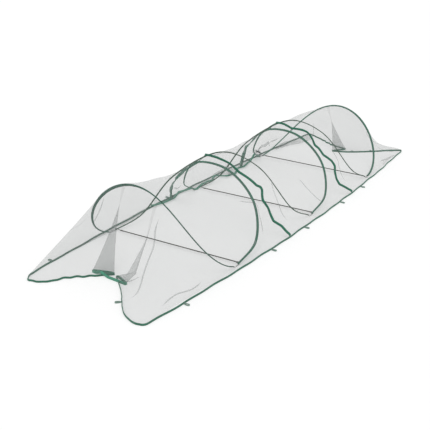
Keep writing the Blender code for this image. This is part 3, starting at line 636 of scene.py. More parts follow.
def bay_hem_x(seams, half):
    """Where the net's columns meet a side hem: spread evenly from station to seam to station."""
    marks = [STATIONS[0], seams[0], STATIONS[1], seams[1], STATIONS[2]]
    spans = [np.linspace(a, b, half, endpoint=False) for a, b in zip(marks, marks[1:])]
    return np.concatenate(spans + [[STATIONS[2]]])


def net_frame(front, rear, pairs, steps):
    """The main net's grid with only its held points in place: hoops and hems."""
    every = STEPS // steps
    columns = 2 * steps + 1
    grid = np.zeros((columns, steps + 1, 3))
    held = np.zeros((columns, steps + 1), bool)
    across = np.linspace(0, 1, steps + 1)
    near = np.array([on_side_hem(x, -1) for x in bay_hem_x(NEAR_SEAM_X, steps // 2)])
    far = np.array([on_side_hem(x, 1) for x in bay_hem_x(FAR_SEAM_X, steps // 2)])
    grid[:] = near[:, None] + (far - near)[:, None] * across[None, :, None]
    grid[..., 2] += LOW_CROWN_HEIGHT * np.sin(np.pi * across)
    grid[0], grid[-1] = front[::every], rear[::every]
    held[[0, -1]] = True
    for bay, (low, high) in enumerate(pairs):
        start = bay * steps
        for k in range(1, steps):
            grid[start + k, k] = low[k * every]
            grid[start + steps - k, k] = high[k * every]
            held[start + k, k] = held[start + steps - k, k] = True
    grid[:, 0], grid[:, -1] = near, far
    held[:, [0, -1]] = True
    return grid, held


def upsampled(grid, times):
    """The grid with each cell divided."""
    rows, columns = grid.shape[:2]
    ri = np.linspace(0, rows - 1, (rows - 1) * times + 1)
    ci = np.linspace(0, columns - 1, (columns - 1) * times + 1)
    along = np.stack([at_shares(grid[:, j], np.arange(rows), ri) for j in range(columns)], axis=1)
    return np.stack([at_shares(along[i], np.arange(columns), ci) for i in range(len(ri))], axis=0)


def grid_normals(grid):
    """Unit normals of a grid, away from the tunnel's axis where it runs over the bays."""
    return unit(np.cross(np.gradient(grid, axis=0), np.gradient(grid, axis=1)))


def main_net(front, rear, pairs):
    """The net over both bays, from the front hoop to the rear hoop, with its normals."""
    coarse, held = net_frame(front, rear, pairs, COARSE)
    coarse = relaxed(coarse, held, COARSE_ROUNDS)
    grid, held = net_frame(front, rear, pairs, STEPS)
    grid = np.where(held[..., None], grid, upsampled(coarse, STEPS // COARSE))
    grid = relaxed(grid, held, FINE_ROUNDS)
    normals = grid_normals(grid)
    normals *= np.sign(np.sum(normals * outward(grid), axis=2, keepdims=True))
    lifted = grid + normals * NET_OVER_SLEEVE
    lifted[:, 0], lifted[:, -1] = grid[:, 0], grid[:, -1]
    return lifted, normals


def seam_wave(waves):
    """How far a seam tape lies towards the rear of its straight line, at each of the net's rows."""
    finer = 8
    fine = np.linspace(0.0, 1.0, finer * STEPS + 1)
    offsets = np.interp(fine, *zip(*waves))
    soft = np.hanning(SEAM_SOFTNESS + 2)[1:-1]
    padded = np.pad(offsets, SEAM_SOFTNESS // 2, mode="edge")
    return np.convolve(padded, soft / soft.sum(), mode="valid")[::finer]


def drawn_to_seams(grid):
    """Where the net's points lie among its columns once these are drawn to the wandering seams."""
    columns = np.arange(len(grid), dtype=float)
    places = np.repeat(columns[:, None], STEPS + 1, axis=1)
    far_off = math.exp(-((HALF / SEAM_WAVE_REACH) ** 2))
    span = 6
    for column, waves in zip(SEAM_COLUMNS, (FRONT_SEAM_WAVES, REAR_SEAM_WAVES)):
        spacing = (grid[column + span, :, 0] - grid[column - span, :, 0]) / (2 * span)
        nearness = np.exp(-(((columns - column) / SEAM_WAVE_REACH) ** 2)) - far_off
        places += np.maximum(nearness, 0.0)[:, None] * (seam_wave(waves) / spacing)[None, :]
    return places


def sampled(grid, places):
    """The grid's surface at other places along its columns."""
    columns = np.arange(len(grid))
    return np.stack([at_shares(grid[:, j], columns, places[:, j]) for j in range(grid.shape[1])], axis=1)


def raised(grid):
    """The net drawn up along its ridge where no hoop holds it."""
    columns = np.arange(len(grid))[:, None]
    rows = np.arange(STEPS + 1)[None, :]
    lines = (rows, STEPS - rows, STEPS + rows, 2 * STEPS - rows, 0 * rows, 0 * rows + 2 * STEPS)
    gaps = np.min([np.abs(columns - line) for line in lines], axis=0)
    near_ridge = np.exp(-(((rows / STEPS - RIDGE_SHARE) / RIDGE_REACH) ** 2))
    lift = np.interp(grid[..., 0], *zip(*RIDGE_LIFT)) * near_ridge * smoothstep(gaps / RIDGE_FREE)
    lifted = grid.copy()
    lifted[..., 2] += lift
    return lifted


def gathered(grid, normals):
    """The far side's net gathered in upright folds above its hem."""
    across = np.linspace(0, 1, STEPS + 1)
    fade = smoothstep((across - GATHER_FROM) / GATHER_GROW) * smoothstep((1 - across) / GATHER_END)
    places = grid[:, GATHER_ROW, 0]
    drift = np.array([noise.noise(Vector((x * 5.0, 0.0, 1.7))) for x in places])
    depth = np.array([noise.noise(Vector((x * 4.0, 3.1, 0.0))) for x in places])
    folds = 0.5 + 0.5 * np.sin(2 * np.pi * places / GATHER_PITCH + 5.0 * drift)
    height = GATHER_HEIGHT * (0.65 + 0.7 * depth) * folds
    return grid + normals * (height[:, None] * fade[None, :])[..., None]


def sagged(grid, paths):
    """The net let down on the ground just inside the far hem, but not where it goes over a sleeve."""
    points = grid.reshape(-1, 3)
    breadth = np.interp(points[:, 0], *zip(*FAR_SAG), left=0.0, right=0.0)
    inward = hem_half_width(points[:, 0]) - points[:, 1]
    lying = 1 - smoothstep((inward - breadth) / SAG_RISE)
    lying *= smoothstep(breadth / SAG_START) * (points[:, 1] > 0)
    low = np.flatnonzero(lying > 0)
    axes = np.concatenate([resample(path, 300) for path in paths.values()])
    gaps = np.linalg.norm(points[low, None] - axes[None], axis=2).min(axis=1)
    lying[low] *= smoothstep((gaps - 2 * SLEEVE_RADIUS) / SLEEVE_ROOM)
    let_down = points.copy()
    let_down[:, 2] -= lying * np.maximum(points[:, 2] - SAG_FLOOR, 0.0)
    return let_down.reshape(grid.shape)


def sag_line(grid):
    """Where the net that lies on the ground by the far hem begins to rise, from column to column."""
    found = []
    for column in grid[:, -STEPS // 3 :]:
        inward = hem_half_width(column[:, 0]) - column[:, 1]
        beyond = inward - np.interp(column[:, 0], *zip(*FAR_SAG))
        row = len(column) - 1
        while row > 1 and beyond[row - 1] <= 0:
            row -= 1
        share = np.clip(beyond[row] / min(beyond[row] - beyond[row - 1], -1e-9), 0.0, 1.0)
        found.append(column[row] + (column[row - 1] - column[row]) * share)
    return np.array(found)


def pleat_points(folds):
    """The points of a hem's folds, those of each pleat together."""
    return [folds[k : k + FOLD_POINTS] for k in range(0, len(folds), FOLD_POINTS)]


def hoop_shares(hem, folds, corners, corner, hangs, shut):
    """Where each point of an end hem hangs from the hoop, as a share of the hoop's length."""
    reach = lengths_along(hem)
    marks, shares = [0.0, reach[corners[0]]], [0.0, corner]
    for hang, pleat in zip(hangs, pleat_points(folds)):
        marks += [reach[pleat[0]], reach[pleat[-1]]]
        shares += [hang - shut, hang + shut]
    return np.interp(reach, marks + [reach[corners[1]], reach[-1]], shares + [1 - corner, 1.0])


def from_nearest(places, marks):
    """How far each place is from the nearest mark."""
    return np.abs(np.asarray(places)[:, None] - np.asarray(marks)[None, :]).min(axis=1)


def end_net(hoop, plan, direction, pleats, slack):
    """The net of one end: lines from the hoop down to the hem that hang through by a share of their
    height, then its pleats drawn together. Gives the grid, and where on the hoop each column begins."""
    hem, folds, corners = hem_line(plan, direction)
    length = lengths_along(hoop)[-1]
    shut = FOLD_SHUT / length
    hangs = [hang for hang, _, _ in pleats]
    shares = hoop_shares(hem, folds, corners, CORNER_HOOP_REACH / length, hangs, shut)
    even = np.linspace(0.0, 1.0, STEPS + 1)
    own = (from_nearest(even, shares) > 0.1 / STEPS) & (from_nearest(even, hangs) >= shut)
    every = np.sort(np.concatenate([shares, even[own]]))
    axis = at_shares(hoop, even, every)
    ground = at_shares(hem, shares, every) + np.array([0.0, 0.0, NET_FLOOR])
    tangents, _, _ = frames_along(axis)
    aside = unit(np.cross(tangents, ground - axis))
    want = outward(axis) + np.array([direction, 0.0, 0.0])
    aside *= np.sign(np.sum(aside * want, axis=1, keepdims=True))
    plain = from_nearest(every, hangs) > shut
    aside = unit(at_shares(aside[plain], every[plain], every))
    top = axis + aside * NET_OVER_SLEEVE
    top[0], top[-1] = on_side_hem(hoop[0][0], -1), on_side_hem(hoop[0][0], 1)
    share = np.linspace(0, 1, END_ROWS + 1)[:, None, None]
    grid = top[None] + (ground - top)[None] * share
    free = smoothstep(from_nearest(every, hangs) / SLACK_FROM_PLEAT)
    hanging = HANG_PEAK * share[..., 0] * (1 - share[..., 0]) ** 2
    grid[..., 2] -= slack * hanging * (free * (top - ground)[:, 2])[None, :]
    reach = lengths_along(hem)
    along = np.interp(every, shares, reach)
    for (_, opening, bow), pleat in zip(pleats, pleat_points(folds)):
        low, high = reach[pleat[0]], reach[pleat[-1]]
        ends = [np.mean(hem[pair], axis=0) for pair in (pleat[:2], pleat[2:])]
        middle, way = (ends[0] + ends[1]) / 2, ends[0] - ends[1]
        half, way = np.linalg.norm(way) / 2, unit(way)
        beside = np.maximum(np.maximum(low - along, along - high), 0.0)
        pull = np.exp(-((beside / PLEAT_REACH) ** 2))
        offset = np.clip((ground - middle) @ way, -half, half)
        close = 1 - np.interp(share[:, 0, 0], *zip(*opening))
        shift = -(close * share[:, 0, 0])[:, None] * (offset * pull)[None, :]
        grid += shift[..., None] * way
        sway = np.interp(share[:, 0, 0], *zip(*BOW_SHAPE))
        grid += (sway[:, None] * pull[None, :])[..., None] * np.array(bow)
    return grid, every


# Meshes


def add_object(name, mesh, look, smooth=True):
    """An object from a mesh, with one material."""
    mesh.validate()
    if smooth:
        mesh.shade_smooth()
    mesh.materials.append(look)
    made = bpy.data.objects.new(name, mesh)
    bpy.context.scene.collection.objects.link(made)
    return made


def add_piece(name, mesh, look, node=None, body="ground_frame"):
    """A piece on a body, in a slot's finish, in the place of the CAD node where one is named."""
    made = add_object(name, mesh, look)
    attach(made, body)
    if node is not None:
        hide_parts(node)


def cut_mesh(name, points, faces, plan):
    """A mesh with the measures of its cut, in metres, as UV map: one pair for each corner of a face."""
    mesh = bpy.data.meshes.new(name)
    mesh.from_pydata(points.reshape(-1, 3).tolist(), [], faces)
    layer = mesh.uv_layers.new(name="cut")
    layer.data.foreach_set("uv", np.array(plan, np.float32).ravel())
    return mesh


def sheet_mesh(name, grid):
    """A single sheet over a grid, outer face out."""
    rows, columns = grid.shape[:2]
    index = np.arange(rows * columns).reshape(rows, columns)
    quads = np.stack([index[:-1, :-1], index[1:, :-1], index[1:, 1:], index[:-1, 1:]], axis=-1)
    if np.sum(grid_normals(grid) * outward(grid)) < 0:
        quads = quads[..., ::-1]
    along = np.linalg.norm(np.diff(grid, axis=0), axis=2).mean(axis=1)
    across = np.linalg.norm(np.diff(grid, axis=1), axis=2).mean(axis=0)
    u = np.concatenate([[0.0], np.cumsum(along)])
    v = np.concatenate([[0.0], np.cumsum(across)])
    plan = np.stack(np.meshgrid(u, v, indexing="ij"), axis=-1).reshape(-1, 2)
    return cut_mesh(name, grid, quads.reshape(-1, 4).tolist(), plan[quads.reshape(-1)])


def on_sheet(grid, tucks, shares):
    """Each tuck's half width, and its line over the sheet. The shares are those of the columns."""
    found = []
    for half, *spots in tucks:
        line = []
        for row_share, share in smooth_curve(spots):
            row = row_share * (len(grid) - 1)
            column = np.interp(share, shares, np.arange(len(shares)))
            i, j = min(int(row), len(grid) - 2), min(int(column), len(shares) - 2)
            a, b = row - i, column - j
            near = grid[i, j] * (1 - a) + grid[i + 1, j] * a
            far = grid[i, j + 1] * (1 - a) + grid[i + 1, j + 1] * a
            line.append(near * (1 - b) + far * b)
        found.append((half, resample(np.array(line), TUCK_POINTS)))
    return found


def from_line(points, line):
    """For each point, the way to it from the nearest point of a line, that point's distance along the
    line, and the line's direction there."""
    along = lengths_along(line)
    ways, reach = points - line[0], np.zeros(len(points))
    heading = np.repeat(unit(line[1] - line[0])[None], len(points), axis=0)
    least = np.linalg.norm(ways, axis=1)
    for k, (a, b) in enumerate(zip(line, line[1:])):
        step = b - a
        share = np.clip((points - a) @ step / (step @ step), 0, 1)
        way = points - a - share[:, None] * step
        gap = np.linalg.norm(way, axis=1)
        nearer = gap < least
        least[nearer], ways[nearer], heading[nearer] = gap[nearer], way[nearer], unit(step)
        reach[nearer] = along[k] + share[nearer] * (along[k + 1] - along[k])
    return ways, reach, heading


def refine(mesh, lines):
    """Smaller cells near the tucks."""
    work = bmesh.new()
    work.from_mesh(mesh)
    for _ in range(TUCK_ROUNDS):
        points = np.array([vertex.co[:] for vertex in work.verts])
        wanted = np.full(len(points), np.inf)
        for half, line in lines:
            ways, _, _ = from_line(points, line)
            close = np.linalg.norm(ways, axis=1) < TUCK_REACH * half
            wanted[close] = np.minimum(wanted[close], half / TUCK_CELLS)
        edges = []
        for edge in work.edges:
            size = max(wanted[vertex.index] for vertex in edge.verts)
            if edge.calc_length() > size:
                edges.append(edge)
        if not edges:
            break
        bmesh.ops.subdivide_edges(work, edges=edges, cuts=1, use_grid_fill=True)
        work.verts.index_update()
    work.to_mesh(mesh)
    work.free()


def tuck(mesh, lines):
    """Folds the sheet over itself along the lines, outward, most at the middle of each."""
    refine(mesh, lines)
    count = len(mesh.vertices)
    points, normals = np.zeros(count * 3), np.zeros(count * 3)
    mesh.vertices.foreach_get("co", points)
    mesh.vertex_normals.foreach_get("vector", normals)
    points, normals = points.reshape(-1, 3), normals.reshape(-1, 3)
    moved = points.copy()
    for half, line in lines:
        ways, reach, heading = from_line(points, line)
        aside = unit(np.cross(normals, heading))
        t = np.sum(ways * aside, axis=1) / half
        close = np.linalg.norm(ways, axis=1) < TUCK_REACH * half
        length = lengths_along(line)[-1]
        strength = smoothstep(np.minimum(reach, length - reach) / (TUCK_TAPER * length)) * close
        body = np.exp(-t * t) * strength
        moved -= aside * ((1 + TUCK_FOLD) * half * t * body)[:, None]
        moved += normals * (TUCK_HEIGHT * half * (1 + TUCK_TILT * t) * body)[:, None]
    moved[:, 2] = np.maximum(moved[:, 2], NET_THICKNESS)
    mesh.vertices.foreach_set("co", moved.ravel())
    mesh.update()


def profile_mesh(name, path, outline, ups=None, closed=False):
    """A bar along a path with the closed outline (across, up) at each point: one outline for all points,
    or one for each. UV is the distance along and the distance round."""
    path = np.asarray(path, float)
    tangents, across, up = frames_along(path, closed)
    if ups is not None:
        across = unit(np.cross(tangents, unit(np.broadcast_to(ups, path.shape))))
        up = np.cross(across, tangents)
    outline = np.asarray(outline, float)
    if outline.ndim == 2:
        outline = np.broadcast_to(outline, (len(path), *outline.shape))
    rings = path[:, None] + outline[..., :1] * across[:, None] + outline[..., 1:] * up[:, None]
    count, sides = rings.shape[:2]
    faces, plan = [], []
    reach = np.append(lengths_along(path), 0.0)
    around = np.append(lengths_along(np.append(outline[0], outline[0][:1], axis=0)), 0.0)
    for i in range(count if closed else count - 1):
        for j in range(sides):
            k, n = (j + 1) % sides, (i + 1) % count
            faces.append((i * sides + j, i * sides + k, n * sides + k, n * sides + j))
            a, b = reach[i], reach[i] + np.linalg.norm(path[n] - path[i])
            plan += [(a, around[j]), (a, around[j + 1]), (b, around[j + 1]), (b, around[j])]
    if not closed:
        for ring, flip in ((0, -1), (count - 1, 1)):
            faces.append(tuple(ring * sides + j for j in range(sides))[::flip])
            plan += [(reach[ring], around[j]) for j in range(sides)]
    return cut_mesh(name, rings, faces, plan)


def circle(radius, sides=10):
    """A round outline."""
    turns = 2 * np.pi * np.arange(sides) / sides
    return np.stack([radius * np.cos(turns), radius * np.sin(turns)], axis=1)


# Materials


def new_material(name):
    """A material with its node tree and its Principled shader."""
    made = bpy.data.materials.new(name)
    made.use_nodes = True
    return made, made.node_tree, made.node_tree.nodes["Principled BSDF"]


def set_inputs(made, **values):
    """A node's inputs, set by name: each a value that is the same all over, or a socket to follow."""
    for name, value in values.items():
        socket = made.inputs[name.replace("_", " ")]
        if isinstance(value, bpy.types.NodeSocket):
            made.id_data.links.new(value, socket)
        else:
            socket.default_value = value


def node(tree, kind, **values):
    """A shader node with its inputs set by name."""
    made = tree.nodes.new(kind)
    set_inputs(made, **values)
    return made


def cut_coordinates(tree):
    """The sheet's own measures, in metres."""
    made = tree.nodes.new("ShaderNodeUVMap")
    made.uv_map = "cut"
    return made.outputs["UV"]


def ramp(tree, fac, low, high, start=0.3, end=0.7):
    """A colour that runs from low to high."""
    made = node(tree, "ShaderNodeValToRGB", Fac=fac)
    for element, place, colour in zip(made.color_ramp.elements, (start, end), (low, high)):
        element.position = place
        element.color = (*colour, 1.0)
    return made.outputs["Color"]


def bands(tree, vector, direction, pitch):
    """Waves along one of the cloth's own directions, one for each thread: a scale of 1 gives 20 radians
    of wave in a metre."""
    scale = 2 * math.pi / pitch / 20.0
    made = node(tree, "ShaderNodeTexWave", Vector=vector, Scale=scale, Distortion=0.4)
    made.bands_direction = direction
    return made.outputs["Fac"]


def math_node(tree, operation, first, second):
    """One sum of two values."""
    made = tree.nodes.new("ShaderNodeMath")
    made.operation = operation
    for socket, value in zip(made.inputs, (first, second)):
        if isinstance(value, (int, float)):
            socket.default_value = value
        else:
            tree.links.new(value, socket)
    return made.outputs["Value"]


def bump(tree, shader, height, strength, distance):
    """Relief from a height."""
    made = node(tree, "ShaderNodeBump", Strength=strength, Distance=distance, Height=height)
    set_inputs(shader, Normal=made.outputs["Normal"])


def noise_of(tree, vector, scale, detail=3.0, roughness=0.55):
    """Soft noise over a surface."""
    made = node(
        tree, "ShaderNodeTexNoise", Vector=vector, Scale=scale, Detail=detail, Roughness=roughness
    )
    return made.outputs["Fac"]


def net_look(name, alpha, low, high):
    """Fine woven net: thin threads over gaps, which reads as a grey veil with a little green in it."""
    made, tree, shader = new_material(name)
    cut = cut_coordinates(tree)
    lengthwise, crosswise = [bands(tree, cut, way, NET_THREAD) for way in ("X", "Y")]
    weave = math_node(tree, "MAXIMUM", lengthwise, crosswise)
    cloud = noise_of(tree, cut, 5.0)
    tone = math_node(tree, "ADD", cloud, math_node(tree, "MULTIPLY", weave, 0.25))
    colour = ramp(tree, tone, low, high, 0.40, 0.95)
    set_inputs(shader, Base_Color=colour, Roughness=0.62, Alpha=alpha)
    set_inputs(shader, Sheen_Weight=0.1, Specular_IOR_Level=0.3)
    bump(tree, shader, weave, 0.25, 0.0004)
    return made


def tape_look(name, low, high, pitch=0.0009, stitch=0.0035, pale=None):
    """Woven green tape with a line of stitches along it. A pale stretch gives the distances along the
    tape where it begins and ends, and its two colours."""
    made, tree, shader = new_material(name)
    cut = cut_coordinates(tree)
    slanting, crosswise = [bands(tree, cut, way, pitch) for way in ("DIAGONAL", "Y")]
    weave = math_node(tree, "MULTIPLY", slanting, crosswise)
    cloud = noise_of(tree, cut, 40.0)
    tone = math_node(tree, "ADD", cloud, math_node(tree, "MULTIPLY", weave, 0.3))
    stitches = bands(tree, cut, "X", stitch)
    tone = math_node(tree, "ADD", tone, math_node(tree, "MULTIPLY", stitches, 0.12))
    colour = ramp(tree, tone, low, high, 0.3, 0.95)
    if pale is not None:
        start, end, pale_low, pale_high = pale
        along = node(tree, "ShaderNodeSeparateXYZ", Vector=cut).outputs["X"]
        after = math_node(tree, "GREATER_THAN", along, start)
        before = math_node(tree, "LESS_THAN", along, end)
        inside = math_node(tree, "MULTIPLY", after, before)
        paler = ramp(tree, tone, pale_low, pale_high, 0.3, 0.95)
        mix = node(tree, "ShaderNodeMixRGB", Fac=inside, Color1=colour, Color2=paler)
        colour = mix.outputs["Color"]
    rough = ramp(tree, cloud, (0.62,) * 3, (0.85,) * 3)
    set_inputs(shader, Base_Color=colour, Roughness=rough, Sheen_Weight=0.2, Sheen_Roughness=0.5)
    bump(tree, shader, tone, 0.5, 0.0006)
    return made


def cord_look():
    """Braided dark cord."""
    made, tree, shader = new_material("braided_cord")
    cut = cut_coordinates(tree)
    left = bands(tree, cut, "DIAGONAL", 0.003)
    strands = math_node(tree, "MAXIMUM", left, bands(tree, cut, "Y", 0.0014))
    colour = ramp(tree, strands, (0.022, 0.018, 0.016), (0.075, 0.065, 0.058))
    set_inputs(shader, Base_Color=colour, Roughness=0.75)
    bump(tree, shader, strands, 0.6, 0.0005)
    return made


def grained_look(name, place, scale, colours, rough, relief, metallic=0.0):
    """A hard surface with a fine grain in its colour, its gloss and its relief."""
    made, tree, shader = new_material(name)
    where = cut_coordinates(tree)
    if place == "object":
        where = tree.nodes.new("ShaderNodeTexCoord").outputs["Object"]
    grain = noise_of(tree, where, scale)
    colour = ramp(tree, grain, *colours)
    roughness = ramp(tree, grain, *[(share,) * 3 for share in rough])
    set_inputs(shader, Base_Color=colour, Roughness=roughness, Metallic=metallic)
    bump(tree, shader, grain, relief, 0.0002)
    return made


# Pieces


def wrinkled(grid, normals, free):
    """The sheet with soft uneven waves, which fade out where it isn't free."""
    flat = grid.reshape(-1, 3) * SOFT_WAVE_SCALE
    waves = np.array([noise.fractal(Vector(p), 0.6, 2.0, 3) for p in flat])
    return grid + normals * (waves.reshape(grid.shape[:2]) * free * SOFT_WAVE)[..., None]


def add_sheet(name, grid, look, tucks, turning=None, folds=None):
    """A sheet that stands for the CAD net of the same name. What turns with a hoop gives the hoop's
    body, each point's share of its turn, and the two grid points from which to which it bends."""
    mesh = sheet_mesh(name, grid)
    # Faces in the pleats take the second material: denser net, with darker colour as painted shade of the
    # folds.
    if folds is not None:
        strips = np.tile(folds[1].astype(np.int32), len(grid) - 1)
        mesh.polygons.foreach_set("material_index", strips)
    if turning is not None:
        body, weights, still, moving = turning
        layer = mesh.attributes.new("hoop_turn", "FLOAT", "POINT")
        layer.data.foreach_set("value", weights.astype(np.float32).ravel())
    tuck(mesh, tucks)
    made = add_object(name + "_sheet", mesh, look)
    if folds is not None:
        mesh.materials.append(folds[0])
    if turning is None:
        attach(made, "ground_frame")
    else:
        turn = np.zeros(len(mesh.vertices), np.float32)
        mesh.attributes["hoop_turn"].data.foreach_get("value", turn)
        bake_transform(made, "ground_frame", body, start=Vector(still), end=Vector(moving))
        mesh.attributes["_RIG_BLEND"].data.foreach_set("value", turn)
        mesh.attributes.remove(mesh.attributes["hoop_turn"])
    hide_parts(name)


def add_bay_nets(front, rear, pairs, paths, look):
    """The three sheets over the bays. Gives the whole grid and its normals."""
    grid, normals = main_net(front, rear, pairs)
    rows = np.arange(STEPS + 1)
    reach = np.minimum(rows, STEPS - rows)
    free = smoothstep(reach / SOFT_WAVE_ROWS)[None, :] * np.ones(grid.shape[:2])
    grid = raised(gathered(wrinkled(grid, normals, free), normals))
    grid = sagged(grid, paths)
    places = drawn_to_seams(grid)
    grid, normals = sampled(grid, places), unit(sampled(normals, places))
    to_front = places / np.maximum(reach[None, :], 1)
    to_rear = (2 * STEPS - places) / np.maximum(reach[None, :], 1)
    first, second = SEAM_COLUMNS
    hoops = ["front_hoop", "low_front", "high_front", "low_rear", "high_rear", "rear_hoop"]
    for name, low, high, body, turn, under in (
        ("net_front_bay", 0, first, "front_hoop", to_front, hoops[:3]),
        ("net_middle", first, second, None, None, hoops[1:-1]),
        ("net_rear_bay", second, 2 * STEPS, "rear_hoop", to_rear, hoops[-3:]),
    ):
        strip = grid[low : high + 1]
        turning = None
        if body is not None:
            weights = 1 - smoothstep(turn[low : high + 1])
            ends = (strip[-1, HALF], strip[0, HALF])
            still, moving = ends if body == "front_hoop" else ends[::-1]
            turning = (body, weights, still, moving)
        tucks = on_sheet(strip, BAY_TUCKS[name], np.linspace(0, 1, STEPS + 1))
        add_sheet(name, strip, look, tucks, turning)
    return grid, normals


def add_end_nets(front, rear, paths, look, fold_look_painted_shade):
    """The two closed ends."""
    front_hem, rear_hem = end_hems()
    for name, hoop, (plan, direction), pleats, slack, body in (
        ("net_front_end", front, front_hem, FRONT_PLEATS, 0.0, "front_hoop"),
        ("net_rear_end", rear, rear_hem, REAR_PLEATS, REAR_SLACK, "rear_hoop"),
    ):
        grid, shares = end_net(hoop, plan, direction, pleats, slack)
        grid = sagged(grid, paths)
        share = np.linspace(0, 1, END_ROWS + 1)[:, None] * np.ones(grid.shape[:2])
        weights = 1 - smoothstep(share)
        weights[:, [0, -1]] = 0.0
        middle = grid.shape[1] // 2
        turning = (body, weights, grid[-1, middle], grid[0, middle])
        tucks = on_sheet(grid, END_TUCKS[name], shares)
        shut = FOLD_MARGIN * FOLD_SHUT / lengths_along(hoop)[-1]
        pleated = from_nearest(shares, [hang for hang, _, _ in pleats]) < shut
        # The strips in the pleats take the denser net, whose darker colour is painted shade of the folds.
        folds = (fold_look_painted_shade, pleated[1:] & pleated[:-1])
        add_sheet(name, grid, look, tucks, turning, folds)


def add_sleeves(paths, green, brown, dark):
    """Six sleeves of tape round the wires: full in some stretches, where a fin of it stands inward, and
    drawn tight in others."""
    looks = {"front_hoop": dark, "high_front": brown, "high_rear": brown}
    for name, path in paths.items():
        cut = trimmed(path, SLEEVE_END_SETBACK, SLEEVE_END_SETBACK)
        cut = resample(smooth_curve(cut, 4), int(lengths_along(cut)[-1] / SLEEVE_STEP))
        share = lengths_along(cut) / lengths_along(cut)[-1]
        full = np.interp(share, *zip(*SLEEVE_FULLNESS[name]))
        places = [k * SLEEVE_STEP * SLEEVE_WRINKLE_SCALE for k in range(len(cut))]
        waves = np.array([noise.noise(Vector((place, 0.0, len(name)))) for place in places])
        size = SLEEVE_RADIUS * (SLEEVE_TIGHT + (1 - SLEEVE_TIGHT) * full)
        size = size * (1 - SLEEVE_WRINKLE * (0.5 + waves))
        ring = circle(1.0, SLEEVE_SIDES)
        rings = ring[None] * size[:, None, None]
        inward = np.clip(-ring[:, 1], 0.0, 1.0) ** 3
        rings[..., 1] -= SLEEVE_FIN * full[:, None] * inward[None, :]
        mesh = profile_mesh(name, cut, rings, outward(cut))
        body = name if name in ("front_hoop", "rear_hoop") else "ground_frame"
        look = looks.get(name, green)
        add_piece(f"sleeve_{name}_tape", mesh, look, "sleeve_" + name, body)


def add_hems(look):
    """Four bindings on the ground under the net's edges. The front one stands taller in its folds, in a
    paler colour."""
    starts, ends = [], []
    for name, (plan, direction) in zip(("hem_front_end", "hem_rear_end"), end_hems()):
        points, folds, corners = hem_line(plan, direction)
        path = points[corners[0] : corners[1] + 1]
        tall, own_look = np.full(len(path), 1.0), look
        if name == "hem_front_end":
            along = lengths_along(path)
            low, high = along[folds[0] - corners[0]], along[folds[-1] - corners[0]]
            begun, left = [smoothstep(gap / HEM_EXTRA_FADE) for gap in (along - low, high - along)]
            tall += HEM_EXTRA * begun * left
            colours = TAPE_COLOURS["binding_tape"]
            own_look = tape_look("folded_binding_tape", *colours, pale=(low, high, *PALE_TAPE))
        starts.append(path[0])
        ends.append(path[-1])
        add_hem(name, path, tall, own_look)
    for name, side, (front, rear) in (("hem_near_side", -1, starts), ("hem_far_side", 1, ends)):
        xs = np.linspace(front[0] + HEM_THICKNESS / 4, rear[0] - HEM_THICKNESS / 4, HEM_POINTS)
        path = np.array([on_side_hem(x, side, 0.0) for x in xs])
        add_hem(name, path, np.full(len(path), 1.0), look)


def add_hem(name, path, tall, look):
    """One binding folded over the net's edge and standing on its own, with its height at each point."""
    half = HEM_THICKNESS / 2
    sections = []
    for share in tall:
        sections.append([(half * across, HEM_HEIGHT * share * up) for across, up in HEM_SECTION])
    mesh = profile_mesh(name, path, np.array(sections), (0.0, 0.0, 1.0))
    add_piece(name + "_tape", mesh, look, name)


def add_ply(grid, look):
    """A second tape that lies on the net where it rises from the ground by the far hem."""
    path = sag_line(grid)
    path = path[path[:, 0] > PLY_FROM_X]
    path = resample(smooth_curve(path[::3], 8), PLY_POINTS)
    path[:, 2] = np.maximum(path[:, 2], SAG_FLOOR / 2) + PLY_THICKNESS
    outline = [(-1, -1), (1, -1), (1, 1), (-1, 1)] * np.array([PLY_HALF_WIDTH, PLY_THICKNESS / 2])
    add_piece("hem_far_side_ply", profile_mesh("ply", path, outline, PLY_UP), look)


def add_seams(grid, normals, look):
    """Two seam tapes that stand on the net between its sheets and flop rearward, more and less."""
    half = TAPE_THICKNESS / 2
    top = half * TAPE_TAPER
    outline = np.array([(-half, 0.0), (half, 0.0), (top, TAPE_WIDTH), (-top, TAPE_WIDTH)])
    slow, fast = TAPE_FLOP_TURNS
    names = ("seam_tape_front", "seam_tape_rear")
    for name, column, phase in zip(names, SEAM_COLUMNS, TAPE_FLOP_PHASES):
        path = smooth_curve(grid[column], 3)
        rows = np.linspace(0, STEPS, len(path))
        square = unit(at_shares(normals[column], np.arange(STEPS + 1), rows))
        tangents, _, _ = frames_along(path)
        share = rows / STEPS
        sway = 0.5 + 0.35 * np.sin(slow * share + phase) + 0.15 * np.sin(fast * share + 2 * phase)
        flop = math.radians(TAPE_FLOP_DEG) * sway[:, None]
        rearward = np.cross(tangents, square)
        rearward *= np.sign(rearward[:, :1])
        ups = square * np.cos(flop) + rearward * np.sin(flop)
        path = path + square * half * np.abs(np.sin(flop))
        full = np.interp(share, *zip(*TAPE_FULLNESS))
        outlines = np.repeat(outline[None], len(path), axis=0)
        outlines[..., 1] *= full[:, None]
        add_piece(name + "_cloth", profile_mesh(name, path, outlines, ups), look, name)


def place_on(path, distance):
    """A point of a path at a distance from its first point, with the ways across it on the level and
    square above it."""
    at, ahead = at_shares(path, lengths_along(path), [distance, distance + CORD_FROM_FOOT / 4])
    across = unit(np.cross(ahead - at, [0.0, 0.0, 1.0]))
    across = across * math.copysign(1.0, across[1])
    above = unit(np.cross(across, ahead - at))
    return at, across, above * math.copysign(1.0, above[2])


